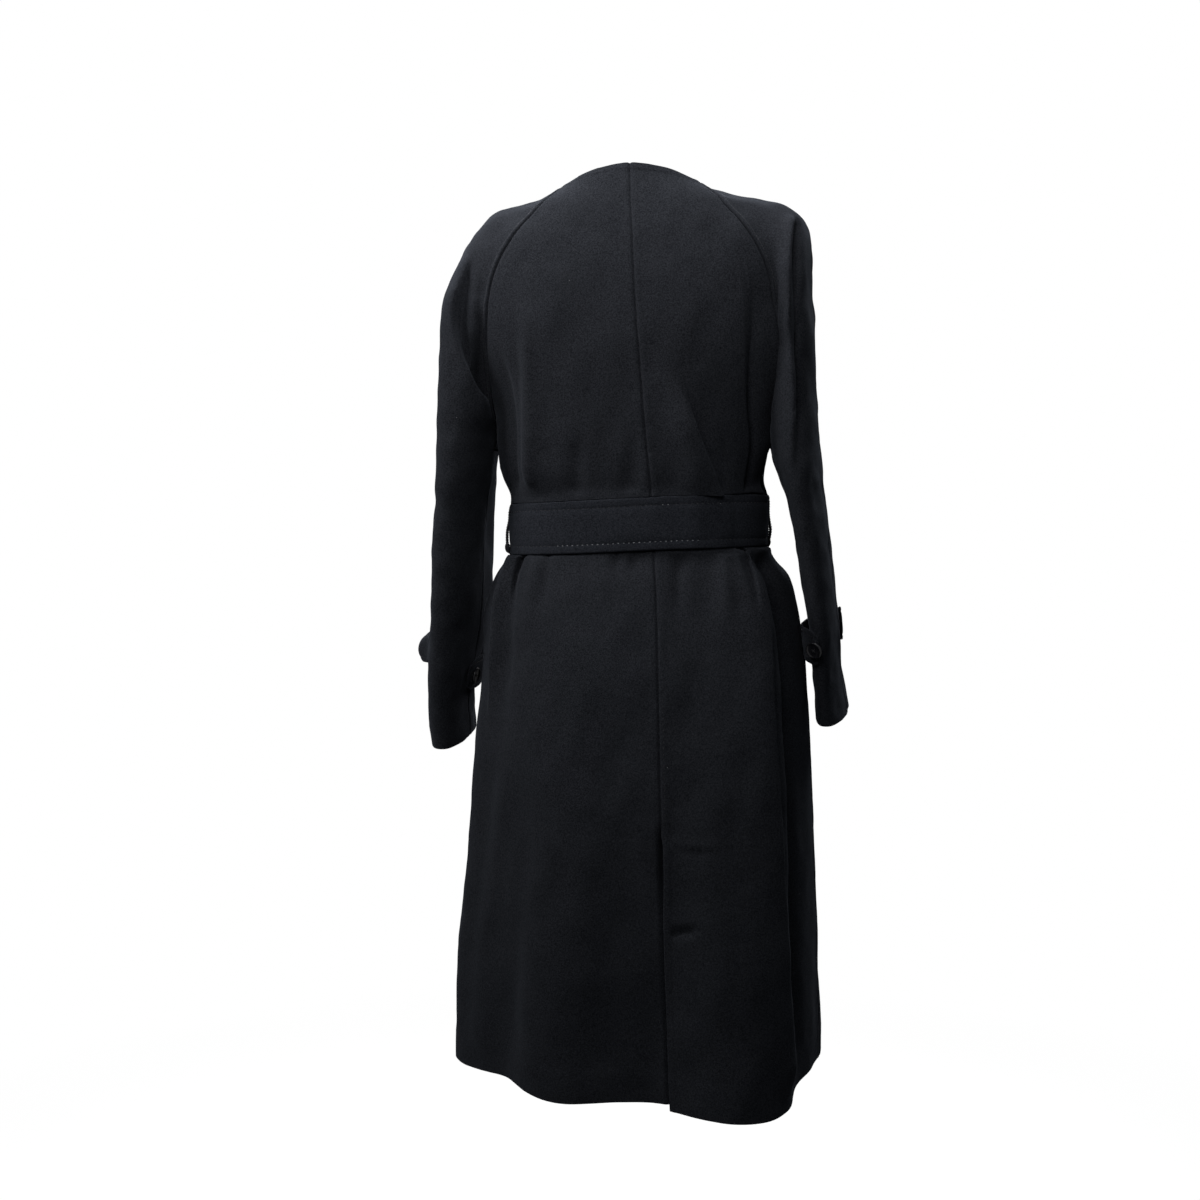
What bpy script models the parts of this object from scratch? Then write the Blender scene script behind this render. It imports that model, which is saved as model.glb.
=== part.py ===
"""A collarless, belted coat with raglan sleeves, filled out as if worn, with nobody inside it.

Run it with: blender --background --python part.py
Metres, +Z up. The front faces -Y, and the wearer's right hand is at -X. The origin is the middle of
the neck opening at the height of the shoulder line, where the wearer's shoulders carry the coat.

Each piece of cloth is one wall: an outer grid of points on the coat's form, and an inner grid one
thickness behind it. "turn" is an angle round the body in degrees: 0 at the centre of the back, 90 at
the wearer's right side, -90 at the left side and 180 at the centre of the front.
"""

import math

import bmesh
import bpy
import numpy as np

# ---------------------------------------------------------------- driving dimensions, in metres
CLOTH = 0.0025  # thickness of the coat's wool
SEAM_GAP = 0.0004  # between two pieces that are sewn together
LAYER_GAP = 0.0008  # between two layers that lie on each other
FRONTS_GAP = 0.0022  # between the two fronts where they overlap
HEM_Z = -1.030
UNDERARM_Z = -0.283
VENT_TOP_Z = -0.729
VENT_UNDERLAP = 0.040
VENT_SLACK = 0.0022  # how much further in the underlap's own edge lies
FRONT_OVERLAP = 13.0  # degrees that each front runs past the centre front

BELT_Z = -0.393
BELT_WIDTH = 0.060
BELT_THICKNESS = 0.0040
BELT_GAP = 0.0003  # between the belt and the fullest part of the coat under it
BELT_TILT = -0.036  # rise per metre towards the wearer's left

BELT_START, BELT_END = -205.0, 205.0  # turns of its two ends, which cross at the centre front
KEEPER_WIDTH = 0.022
LOOP_STRAND = 0.0010  # radius
LOOP_REACH = 0.010  # above and below the belt

STRAP_WIDTH = 0.040
STRAP_THICKNESS = 0.0030
BUTTON_RADIUS = 0.010

BODY_COLUMNS = 10  # cells across each body panel
RIGHT, LEFT = 1.0, -1.0  # sign of turn on each side

# ---------------------------------------------------------------- the body's form
# Half-sizes of the horizontal section at each height: to the wearer's right and left, to the back
# and to the front, how square its corners are, and how far the seams have turned round the body.
SECTION = ("z", "right", "left", "back", "front", "power", "twist")
SECTIONS = np.array(
    [
        (0.030, 0.062, 0.066, 0.057, 0.050, 2.3, -1.0),
        (0.012, 0.069, 0.077, 0.065, 0.058, 2.4, 0.2),
        (0.000, 0.081, 0.090, 0.070, 0.064, 2.6, 1.0),
        (-0.028, 0.128, 0.132, 0.082, 0.074, 3.0, 2.8),
        (-0.054, 0.160, 0.162, 0.091, 0.085, 3.2, 4.3),
        (-0.086, 0.186, 0.183, 0.100, 0.098, 3.2, 5.5),
        (-0.120, 0.194, 0.189, 0.107, 0.112, 3.2, 6.5),
        (-0.150, 0.191, 0.189, 0.111, 0.124, 3.1, 7.4),
        (-0.190, 0.185, 0.186, 0.113, 0.135, 2.8, 8.9),
        (-0.228, 0.172, 0.178, 0.112, 0.138, 2.6, 10.4),
        (-0.267, 0.158, 0.1695, 0.110, 0.136, 2.5, 12.0),
        (-0.300, 0.153, 0.1675, 0.108, 0.130, 2.5, 13.6),
        (-0.336, 0.1485, 0.161, 0.105, 0.122, 2.5, 15.7),
        (-0.360, 0.1490, 0.1505, 0.100, 0.113, 2.5, 17.0),
        (-0.393, 0.1510, 0.1460, 0.097, 0.109, 2.5, 18.2),
        (-0.426, 0.1560, 0.1485, 0.099, 0.111, 2.5, 18.8),
        (-0.450, 0.1750, 0.1650, 0.108, 0.119, 2.5, 18.8),
        (-0.482, 0.1855, 0.1755, 0.118, 0.128, 2.5, 18.6),
        (-0.550, 0.1955, 0.1790, 0.132, 0.139, 2.5, 18.2),
        (-0.640, 0.2010, 0.1875, 0.142, 0.147, 2.5, 18.2),
        (-0.790, 0.2055, 0.1975, 0.152, 0.156, 2.4, 18.9),
        (-0.930, 0.2080, 0.2095, 0.157, 0.162, 2.4, 20.0),
        (-1.060, 0.2095, 0.2095, 0.160, 0.166, 2.4, 21.0),
    ]
)

# Flutes that run from the belt to the hem: where they start and end, their rise there, half-width.
FLUTE = ("turn_belt", "turn_hem", "rise_belt", "rise_hem", "half_width")
FLUTES = np.array(
    [
        (58.0, 43.0, 0.004, 0.040, 20.0),
        (76.0, 72.0, -0.008, -0.009, 11.0),
        (46.0, 18.0, -0.004, -0.006, 10.0),
        (-30.0, -25.0, 0.000, 0.010, 18.0),
        (-58.0, -54.0, -0.004, -0.026, 16.0),
        (-78.0, -84.0, 0.004, 0.012, 11.0),
        (-108.0, -106.0, -0.003, -0.016, 15.0),
        (-133.0, -132.0, 0.003, 0.020, 16.0),
        (-158.0, -160.0, 0.000, -0.012, 14.0),
        (157.0, 161.0, 0.002, 0.010, 14.0),
        (133.0, 136.0, -0.003, -0.018, 16.0),
        (112.0, 112.0, 0.003, 0.019, 15.0),
    ]
)
FLUTES_START_Z = -0.424

# Folds above the belt, from the shoulder blades and the bust down to the belt.
FOLD = ("turn_top", "z_top", "turn_belt", "rise", "half_width")
FOLDS = np.array(
    [
        (50.0, -0.140, 53.0, 0.008, 8.0),
        (-49.0, -0.140, -51.0, 0.007, 8.0),
        (62.0, -0.200, 70.0, -0.007, 8.0),
        (-62.0, -0.200, -69.0, -0.006, 8.0),
        (24.0, -0.215, 42.0, 0.006, 7.0),
        (140.0, -0.220, 148.0, 0.006, 11.0),
        (-140.0, -0.220, -147.0, 0.006, 11.0),
    ]
)
FOLDS_END_Z = -0.366

# ---------------------------------------------------------------- the raglan seam and the neckline
# Rows of each body panel above the underarm: the turn and height of the raglan seam on the back and
# on the front, and the height that the same row has at the centre back and the centre front.
RAGLAN = ("back_turn", "back_z", "centre_back_z", "front_turn", "front_z", "centre_front_z")
RAGLAN_ROWS = np.array(
    [
        (90.0, -0.2830, -0.2830, 90.0, -0.2830, -0.2830),
        (80.5, -0.2620, -0.2620, 102.0, -0.2620, -0.2640),
        (72.8, -0.2320, -0.2320, 112.0, -0.2350, -0.2390),
        (67.3, -0.1950, -0.1940, 119.0, -0.2010, -0.2080),
        (64.0, -0.1520, -0.1500, 123.0, -0.1600, -0.1730),
        (62.4, -0.1180, -0.1120, 124.6, -0.1270, -0.1490),
        (60.8, -0.0840, -0.0740, 125.2, -0.0940, -0.1270),
        (59.6, -0.0540, -0.0380, 125.0, -0.0630, -0.1080),
        (59.4, -0.0270, -0.0060, 123.6, -0.0360, -0.0920),
        (66.0, 0.0000, 0.0190, 121.0, -0.0120, -0.0780),
    ]
)
NECK_ARC = 3  # points between the two raglan seams at the neck
NECK_CURVE = 2.2  # how flat the neckline runs at the centre

# ---------------------------------------------------------------- the sleeves' form
# Rings from the shoulder cap to the cuff: the inner and outer ends of each ring, seen from the front,
# its centre and half-depth from back to front, how far its front end toes in, in degrees, and how
# much higher its front end is than its back, as a slope.
RING = ("inner_x", "inner_z", "outer_x", "outer_z", "centre_y", "half_depth", "toe", "lean")
LEFT_RINGS = np.array(
    [
        (0.1730, -0.3010, 0.2000, -0.0410, 0.000, 0.083, 0.0, 0.00),
        (0.1730, -0.3160, 0.2235, -0.1450, 0.002, 0.086, 1.0, 0.00),
        (0.1750, -0.3350, 0.2315, -0.2550, 0.003, 0.086, 2.0, 0.00),
        (0.1795, -0.3600, 0.2345, -0.3500, 0.002, 0.084, 2.5, 0.00),
        (0.1870, -0.4350, 0.2400, -0.4350, -0.002, 0.080, 3.0, 0.02),
        (0.1990, -0.5250, 0.2490, -0.5250, -0.012, 0.074, 2.0, 0.06),
        (0.2150, -0.6040, 0.2585, -0.6040, -0.024, 0.069, -1.0, 0.10),
        (0.2165, -0.6540, 0.2545, -0.6540, -0.034, 0.066, -1.0, 0.13),
    ]
)
RIGHT_RINGS = np.array(
    [
        (0.1580, -0.3010, 0.1930, -0.0435, 0.000, 0.083, 0.0, 0.00),
        (0.1590, -0.3150, 0.2035, -0.1350, 0.002, 0.087, 1.0, 0.00),
        (0.1640, -0.3300, 0.2090, -0.2500, 0.003, 0.087, 0.0, 0.00),
        (0.1745, -0.3560, 0.2170, -0.3400, 0.002, 0.086, -1.0, 0.00),
        (0.1895, -0.4250, 0.2270, -0.4250, -0.003, 0.081, -1.0, 0.02),
        (0.2030, -0.5050, 0.2345, -0.5050, -0.014, 0.075, -2.0, 0.06),
        (0.2090, -0.5700, 0.2385, -0.5700, -0.026, 0.070, -4.0, 0.10),
        (0.2150, -0.6170, 0.2450, -0.6170, -0.035, 0.067, -6.0, 0.12),
    ]
)
RING_CELLS = (4, 2, 2, 2, 2, 2, 2, 1)  # rows of cells up to each ring
RING_POWER = 2.5
CREASE_HEIGHT = 0.11  # above the underarm, where the sleeve leaves the body smoothly

# Long troughs down the back of each sleeve, as they run seen from behind.
TROUGH_DEPTH = {RIGHT: 0.0045, LEFT: 0.007}
TROUGH_HALF_WIDTH = 0.016
TROUGHS = {
    RIGHT: ((0.187, -0.030), (0.186, -0.120), (0.186, -0.240), (0.188, -0.330)),
    LEFT: ((0.188, -0.090), (0.199, -0.150), (0.190, -0.205), (0.172, -0.280)),
}


def smooth_rows(table, at, column):
    """Values of a table's column at heights between its rows, as one smooth curve."""
    order = np.argsort(table[:, 0])
    x, y = table[order, 0], table[order, column]
    slope = np.gradient(y, x)
    at = np.clip(np.asarray(at, float), x[0], x[-1])
    i = np.clip(np.searchsorted(x, at) - 1, 0, len(x) - 2)
    step = x[i + 1] - x[i]
    t = (at - x[i]) / step
    return (
        (1 + 2 * t) * (1 - t) ** 2 * y[i]
        + t * (1 - t) ** 2 * step * slope[i]
        + t * t * (3 - 2 * t) * y[i + 1]
        + t * t * (t - 1) * step * slope[i + 1]
    )


def section(name, z):
    return smooth_rows(SECTIONS, z, SECTION.index(name))


def ease(t):
    """0 to 1 with level ends."""
    t = np.clip(t, 0.0, 1.0)
    return t * t * (3 - 2 * t)


def apart(turn, other):
    """Degrees between two turns, the short way round."""
    return (np.asarray(turn) - other + 180.0) % 360.0 - 180.0


def folds_rise(turn, z):
    """How far the flutes and folds lift the cloth off its plain section."""
    rise = np.zeros(np.broadcast(turn, z).shape)
    down = np.clip((FLUTES_START_Z - z) / (FLUTES_START_Z - HEM_Z), 0.0, 1.1)
    for turn_belt, turn_hem, rise_belt, rise_hem, half_width in FLUTES:
        middle = turn_belt + (turn_hem - turn_belt) * down**0.7
        height = rise_belt * ease(down * 12) + (rise_hem - rise_belt) * down**1.1
        rise += height * np.exp(-((apart(turn, middle) / half_width) ** 2))
    for turn_top, z_top, turn_belt, fold_rise, half_width in FOLDS:
        along = (z_top - z) / (z_top - FOLDS_END_Z)
        middle = turn_top + (turn_belt - turn_top) * np.clip(along, 0, 1)
        height = fold_rise * ease(along * 1.6) * ease((1.06 - along) * 4)
        rise += height * np.exp(-((apart(turn, middle) / half_width) ** 2))
    return rise


def body_radius(turn, z):
    angle = np.radians(turn)
    across, along = np.abs(np.sin(angle)), np.abs(np.cos(angle))
    half = np.where(apart(turn, 0) > 0, section("right", z), section("left", z))
    deep = np.where(np.cos(angle) > 0, section("back", z), section("front", z))
    power = section("power", z)
    plain = ((across / half) ** power + (along / deep) ** power) ** (-1 / power)
    return plain + folds_rise(turn, z)


def body_point(turn, z, outwards=0.0):
    """A point on the coat's outer surface, or that far outside it."""
    turn, z = np.broadcast_arrays(np.asarray(turn, float), np.asarray(z, float))
    radius = body_radius(turn, z)
    angle = np.radians(turn)
    point = np.stack([-radius * np.sin(angle), radius * np.cos(angle), z], axis=-1)
    return point + np.asarray(outwards)[..., None] * body_normal(turn, z)


def body_normal(turn, z):
    def bare(turn, z):
        radius, angle = body_radius(turn, z), np.radians(turn)
        return np.stack([-radius * np.sin(angle), radius * np.cos(angle), z], axis=-1)

    round_it = bare(turn + 0.5, z) - bare(turn - 0.5, z)
    up = bare(turn, z + 0.002) - bare(turn, z - 0.002)
    normal = np.cross(up, round_it)
    normal = -normal if np.mean(np.sum(normal * bare(turn, z) * (1, 1, 0), axis=-1)) < 0 else normal
    return normal / np.linalg.norm(normal, axis=-1, keepdims=True)


# ---------------------------------------------------------------- meshes
def closed_wall(name, outer, inner, cells, material):
    """A solid between two matching grids of points. cells says which cells of the grid are cloth."""
    rows, columns = outer.shape[:2]
    mesh = bmesh.new()
    used = np.zeros((rows, columns), bool)
    for r, c in np.argwhere(cells):
        used[r : r + 2, c : c + 2] = True
    corner = {}
    for r, c in np.argwhere(used):
        corner[0, r, c] = mesh.verts.new(outer[r, c])
        corner[1, r, c] = mesh.verts.new(inner[r, c])

    def has(r, c):
        return 0 <= r < rows - 1 and 0 <= c < columns - 1 and cells[r, c]

    for r, c in np.argwhere(cells):
        ring = ((r, c), (r, c + 1), (r + 1, c + 1), (r + 1, c))
        mesh.faces.new([corner[0, a, b] for a, b in ring])
        mesh.faces.new([corner[1, a, b] for a, b in reversed(ring)])
        beyond = ((r - 1, c), (r, c + 1), (r + 1, c), (r, c - 1))
        for side, neighbour in enumerate(beyond):
            if not has(*neighbour):
                a, b = ring[side], ring[(side + 1) % 4]
                mesh.faces.new([corner[0, *b], corner[0, *a], corner[1, *a], corner[1, *b]])
    bmesh.ops.recalc_face_normals(mesh, faces=mesh.faces)
    return finished(name, mesh, material)


def finished(name, mesh, material):
    data = bpy.data.meshes.new(name)
    mesh.to_mesh(data)
    mesh.free()
    data.materials.append(material)
    data.shade_smooth()
    data.set_sharp_from_angle(angle=math.radians(50))
    obj = bpy.data.objects.new(name, data)
    coat.objects.link(obj)
    return obj


def plain_material(name, colour, roughness, metallic=0.0):
    material = bpy.data.materials.new(name)
    material.use_nodes = True
    shader = material.node_tree.nodes["Principled BSDF"]
    shader.inputs["Base Color"].default_value = (*colour, 1.0)
    shader.inputs["Roughness"].default_value = roughness
    shader.inputs["Metallic"].default_value = metallic
    return material


# ---------------------------------------------------------------- body panels
LOWER_ROWS_Z = np.array(
    [HEM_Z, -0.955, -0.880, -0.800, VENT_TOP_Z, -0.650, -0.580, -0.520]
    + [-0.482, -0.455, -0.437, -0.420, -0.366, -0.352, -0.330, -0.306]
)


def hem_drop(turn, z, side):
    """How far the hem hangs below its level: most on the back's right flute, a little on its left."""
    near = ease((-0.80 - z) / (-0.80 - HEM_Z))
    if side == LEFT:
        places = ((-20.0, 0.005, 18.0), (-76.0, 0.006, 18.0))
    else:
        places = ((48.0, 0.013, 28.0), (10.0, 0.002, 20.0))
    low = sum(drop * np.exp(-((apart(turn, at) / width) ** 2)) for at, drop, width in places)
    return near * low


def side_turn(side, z):
    """Turn of the side seam. It starts at the underarm and follows the coat's twist down."""
    twist = section("twist", z) - section("twist", UNDERARM_Z)
    return side * 90.0 + np.where(z < UNDERARM_Z, twist, 0.0)


def back_grid(side, fractions):
    """Turns and heights of a back panel's points, row by row from the hem to the neckline."""
    turns, heights = [], []
    for z in LOWER_ROWS_Z:
        start, end = section("twist", z), side_turn(side, z)
        turns.append(start + (end - start) * fractions)
        heights.append(np.full(len(fractions), z))
    for back_turn, back_z, centre_z, *_ in RAGLAN_ROWS:
        start, end = section("twist", centre_z), side * back_turn
        turn = start + (end - start) * fractions
        turns.append(turn)
        heights.append(centre_z + (back_z - centre_z) * np.abs(turn / back_turn) ** NECK_CURVE)
    return np.array(turns), np.array(heights)


def front_grid(side, fractions):
    """The same for a front panel, from its side seam to its edge past the centre front."""
    turns, heights = [], []
    for z in LOWER_ROWS_Z:
        start = side_turn(side, z)
        end = side * (180.0 + FRONT_OVERLAP)
        turns.append(start + (end - start) * fractions)
        heights.append(np.full(len(fractions), z))
    for *_, front_turn, front_z, centre_z in RAGLAN_ROWS:
        start, end = side * front_turn, side * (180.0 + FRONT_OVERLAP)
        turn = start + (end - start) * fractions
        share = (180.0 - np.abs(turn)) / (180.0 - front_turn)
        turns.append(turn)
        heights.append(centre_z + (front_z - centre_z) * np.abs(share) ** 1.7)
    return np.array(turns), np.array(heights)


def pulled_in(points, first=False, last=False):
    """The grid with its sewn edges moved half a seam's gap into the piece."""
    points = points.copy()
    for sewn, edge, within in ((first, 0, 1), (last, -1, -2)):
        if sewn:
            way = points[:, within] - points[:, edge]
            points[:, edge] += way * (SEAM_GAP / 2 / np.linalg.norm(way, axis=-1, keepdims=True))
    return points


def body_panel(name, side, turns, heights, sunk, sewn, material, cells=None):
    """One body panel. sunk is how far each point lies under the coat's outer surface."""
    heights = heights - hem_drop(turns, heights, side)
    outer = pulled_in(body_point(turns, heights, -sunk), **sewn)
    inner = pulled_in(body_point(turns, heights, -sunk - CLOTH), **sewn)
    if cells is None:
        cells = np.ones((turns.shape[0] - 1, turns.shape[1] - 1), bool)
    return closed_wall(name, outer, inner, cells, material)


def make_backs(material):
    fractions = np.linspace(0, 1, BODY_COLUMNS + 1)
    turns, heights = back_grid(RIGHT, fractions)
    flat = np.zeros(turns.shape)
    body_panel("back_right", RIGHT, turns, heights, flat, dict(first=True, last=True), material)

    # The left back carries the vent's underlap, which runs under the right back below the vent's top.
    turns, heights = back_grid(LEFT, fractions)
    radius = body_radius(turns[:, 0], heights[:, 0])
    lap = np.degrees(np.array([[VENT_UNDERLAP, VENT_UNDERLAP / 2, 0.004]]) / radius[:, None])
    turns = np.hstack([turns[:, :1] + lap, turns])
    heights = np.hstack([np.repeat(heights[:, :1], 3, axis=1), heights])
    in_vent = heights <= VENT_TOP_Z + 0.001
    from_edge = apart(turns, turns[:, 3:4]) * np.pi / 180 * radius[:, None]
    sunk = (CLOTH + LAYER_GAP) * ease((from_edge + 0.030) / 0.030) * in_vent
    sunk += VENT_SLACK * ease(from_edge / VENT_UNDERLAP) * in_vent
    sunk[heights > VENT_TOP_Z - 0.001] = 0.0
    cells = np.ones((turns.shape[0] - 1, turns.shape[1] - 1), bool)
    cells[int(np.argmax(LOWER_ROWS_Z == VENT_TOP_Z)) - 1 :, :3] = False
    body_panel("back_left", LEFT, turns, heights, sunk, dict(last=True), material, cells)


def make_fronts(material):
    fractions = np.linspace(0, 1, BODY_COLUMNS + 1)
    turns, heights = front_grid(RIGHT, fractions)
    flat = np.zeros(turns.shape)
    body_panel("front_right", RIGHT, turns, heights, flat, dict(first=True), material)

    # The left front dips under the right front's edge, and runs on beneath it.
    turns, heights = front_grid(LEFT, fractions)
    edge = 180.0 - FRONT_OVERLAP
    sunk = (CLOTH + FRONTS_GAP) * ease((np.abs(turns) - edge + 14.0) / 12.0)
    body_panel("front_left", LEFT, turns, heights, sunk, dict(first=True), material)


# ---------------------------------------------------------------- sleeves
def seam_loop(side):
    """Points round the raglan seam, from the underarm up the back, past the neck and down the front,
    and for each the way that the sleeve leaves it."""
    back, front = RAGLAN_ROWS[:, :2], RAGLAN_ROWS[::-1, 3:5]
    share = np.linspace(0, 1, NECK_ARC + 2)[1:-1, None]
    arc = back[-1] + (front[0] - back[-1]) * share
    path = np.vstack([back, arc, front])
    turns, heights = side * path[:, 0], path[:, 1]
    points = body_point(turns, heights)
    normals = body_normal(turns, heights)
    along = np.gradient(points, axis=0)
    smooth_way = np.cross(along, normals)
    smooth_way /= np.linalg.norm(smooth_way, axis=1, keepdims=True)
    outwards = np.array([-side, 0.0, 0.0])
    smooth_way *= np.sign(np.sum(smooth_way * outwards, axis=1, keepdims=True))
    share = ease((heights - UNDERARM_Z) / CREASE_HEIGHT)[:, None]
    way = share * smooth_way + (1 - share) * np.array([-side * 0.75, 0.0, -0.65])
    return points, way / np.linalg.norm(way, axis=1, keepdims=True)


def ring_points(side, ring, shares):
    """Points of one ring of the sleeve. A share of 0 is the underarm, 0.25 the back, 0.5 outside."""
    inner_x, inner_z, outer_x, outer_z, centre_y, half_depth, toe, lean = ring
    angle = 2 * np.pi * shares
    across, deep = -np.cos(angle), np.sin(angle)
    fuller = (np.abs(across) ** RING_POWER + np.abs(deep) ** RING_POWER) ** (-1 / RING_POWER)
    across, deep = across * fuller, deep * fuller
    x = (inner_x + outer_x) / 2 + (outer_x - inner_x) / 2 * across
    z = (inner_z + outer_z) / 2 + (outer_z - inner_z) / 2 * across
    y = centre_y + half_depth * deep
    x = x + (y - centre_y) * math.tan(math.radians(toe))
    z = z - (y - centre_y) * lean
    return np.stack([-side * x, y, z], axis=1)


def trough(side, points):
    """How deep the long trough is at each point of the sleeve's back."""
    path = np.array(TROUGHS[side])
    flat = np.stack([np.abs(points[..., 0]), points[..., 2]], axis=-1)
    nearest = np.full(flat.shape[:-1], 1.0)
    for a, b in zip(path[:-1], path[1:]):
        t = np.clip(np.sum((flat - a) * (b - a), axis=-1) / np.sum((b - a) ** 2), 0, 1)
        nearest = np.minimum(nearest, np.linalg.norm(flat - a - t[..., None] * (b - a), axis=-1))
    depth = TROUGH_DEPTH[side] * np.exp(-((nearest / TROUGH_HALF_WIDTH) ** 2))
    return depth * ease(points[..., 1] / 0.045)


def sleeve_grid(side):
    """Outer points of a sleeve, row by row from the raglan seam to the cuff, column by column from
    the underarm round the back."""
    seam, way = seam_loop(side)
    steps = np.linalg.norm(np.diff(seam, axis=0), axis=1)
    shares = np.concatenate([[0], np.cumsum(steps)]) / steps.sum()
    rings = LEFT_RINGS if side == LEFT else RIGHT_RINGS
    keys = np.array([seam] + [ring_points(side, ring, shares) for ring in rings])
    spans = np.maximum(np.linalg.norm(np.diff(keys, axis=0), axis=2), 0.004)
    slopes = np.empty_like(keys)
    slopes[0] = way
    chords = np.diff(keys, axis=0) / spans[..., None]
    weight = (spans[1:] / (spans[1:] + spans[:-1]))[..., None]
    slopes[1:-1] = weight * chords[:-1] + (1 - weight) * chords[1:]
    slopes[-1] = chords[-1]
    rows = [seam]
    for k, cells in enumerate(RING_CELLS):
        for t in np.linspace(0, 1, cells + 1)[1:]:
            span = spans[k][:, None]
            rows.append(
                (1 + 2 * t) * (1 - t) ** 2 * keys[k]
                + t * (1 - t) ** 2 * span * slopes[k]
                + t * t * (3 - 2 * t) * keys[k + 1]
                + t * t * (t - 1) * span * slopes[k + 1]
            )
    return np.array(rows)


def grid_normals(points, side):
    """Normals of a sleeve's grid, which closes on itself at the underarm."""
    around = np.gradient(points, axis=1)
    closing = (points[:, 1] - points[:, -2]) / 2
    around[:, 0], around[:, -1] = closing, closing
    normals = side * np.cross(np.gradient(points, axis=0), around)
    normals[1:-1] = (normals[:-2] + 2 * normals[1:-1] + normals[2:]) / 4
    return normals / np.linalg.norm(normals, axis=-1, keepdims=True)


def sleeve_walls(side):
    points = sleeve_grid(side)
    normals = grid_normals(points, side)
    points = points - trough(side, points)[..., None] * normals
    points[0] += (points[1] - points[0]) * (
        SEAM_GAP / np.linalg.norm(points[1] - points[0], axis=1, keepdims=True)
    )
    normals = grid_normals(points, side)
    return points, points - CLOTH * normals, normals


def make_sleeve(side, word, material):
    outer, inner, _ = sleeve_walls(side)
    middle = outer.shape[1] // 2
    for half, columns in (("back", slice(0, middle + 1)), ("front", slice(middle, None))):
        sewn = dict(first=True, last=True)
        out, within = pulled_in(outer[:, columns], **sewn), pulled_in(inner[:, columns], **sewn)
        cells = np.ones((out.shape[0] - 1, out.shape[1] - 1), bool)
        closed_wall(f"sleeve_{word}_{half}", out, within, cells, material)


# Cuff straps: the shares round the sleeve and the heights of their two ends, and where the button is.
# A share of 0.5 is the overarm seam, 0.75 the sleeve's front, 1 the underarm and 1.25 the back.
STRAP = ("start", "end", "start_z", "end_z", "button_share")
STRAPS = {RIGHT: (0.57, 1.245, -0.510, -0.534, 1.214), LEFT: (0.45, 1.050, -0.541, -0.578, 1.012)}

# Where the straps stand off the sleeves: share round the sleeve, how far, and half-width in shares.
STAND_OFF = ("share", "how_far", "half_width")
STANDS_OFF = {
    RIGHT: ((1.04, 0.0070, 0.075), (0.75, 0.0015, 0.080)),
    LEFT: ((0.505, 0.0210, 0.030), (0.93, 0.0060, 0.060)),
}


# ---------------------------------------------------------------- belt, keeper and loops
def belt_level(turn):
    """Height of the belt's centre line."""
    return BELT_Z - BELT_TILT * 0.15 * np.sin(np.radians(turn))


def belt_radius(turn):
    """Radius of the belt's inner face: it rests on the coat's fullest point at each turn, and lies
    over its own first end where the ends cross."""
    level = belt_level(turn)
    under = [body_radius(turn, level + BELT_WIDTH * share) for share in np.linspace(-0.57, 0.57, 9)]
    lift = (BELT_THICKNESS + LAYER_GAP) * ease((np.asarray(turn) - 134.0) / 16.0)
    lift = lift + 0.0026 * np.exp(-((apart(turn, 180.0) / 16.0) ** 2))  # room for the keeper
    return np.max(under, axis=0) + BELT_GAP + lift


def belt_point(turn, across, outwards):
    """across runs from -0.5 at the lower edge to 0.5 at the upper one."""
    radius, angle = belt_radius(turn) + outwards, np.radians(turn)
    z = belt_level(turn) + across * BELT_WIDTH
    return np.stack([-radius * np.sin(angle), radius * np.cos(angle), z], axis=-1)


def make_belt(material):
    turns = np.linspace(BELT_START, BELT_END, 66)
    turns, across = np.meshgrid(turns, (-0.5, 0.5))
    inner, outer = belt_point(turns, across, 0.0), belt_point(turns, across, BELT_THICKNESS)
    closed_wall("belt", outer, inner, np.ones((1, 65), bool), material)


def make_keeper(material):
    """A flat ring of the same cloth, round both ends of the belt at the centre front."""
    half = np.degrees(KEEPER_WIDTH / 2 / float(belt_radius(180.0)))
    turns = 180.0 + np.array([-half, half])
    back = -(BELT_THICKNESS + LAYER_GAP) - 0.0004
    front = BELT_THICKNESS + 0.0004
    edge = 0.5 + 0.0004 / BELT_WIDTH
    wall = 0.0016

    def ring(extra):
        corners = ((back - extra, -edge - extra / BELT_WIDTH), (front + extra, -edge - extra / BELT_WIDTH))
        corners += ((front + extra, edge + extra / BELT_WIDTH), (back - extra, edge + extra / BELT_WIDTH))
        return np.array([belt_point(turns, across, out) for out, across in corners])

    inner, outer = ring(0.0), ring(wall)
    mesh = bmesh.new()
    inside = [[mesh.verts.new(point) for point in pair] for pair in inner]
    outside = [[mesh.verts.new(point) for point in pair] for pair in outer]
    for a in range(4):
        b = (a + 1) % 4
        mesh.faces.new((outside[a][0], outside[a][1], outside[b][1], outside[b][0]))
        mesh.faces.new((inside[b][0], inside[b][1], inside[a][1], inside[a][0]))
        for end in (0, 1):
            mesh.faces.new((outside[a][end], outside[b][end], inside[b][end], inside[a][end]))
    bmesh.ops.recalc_face_normals(mesh, faces=mesh.faces)
    finished("belt_keeper", mesh, material)


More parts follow.
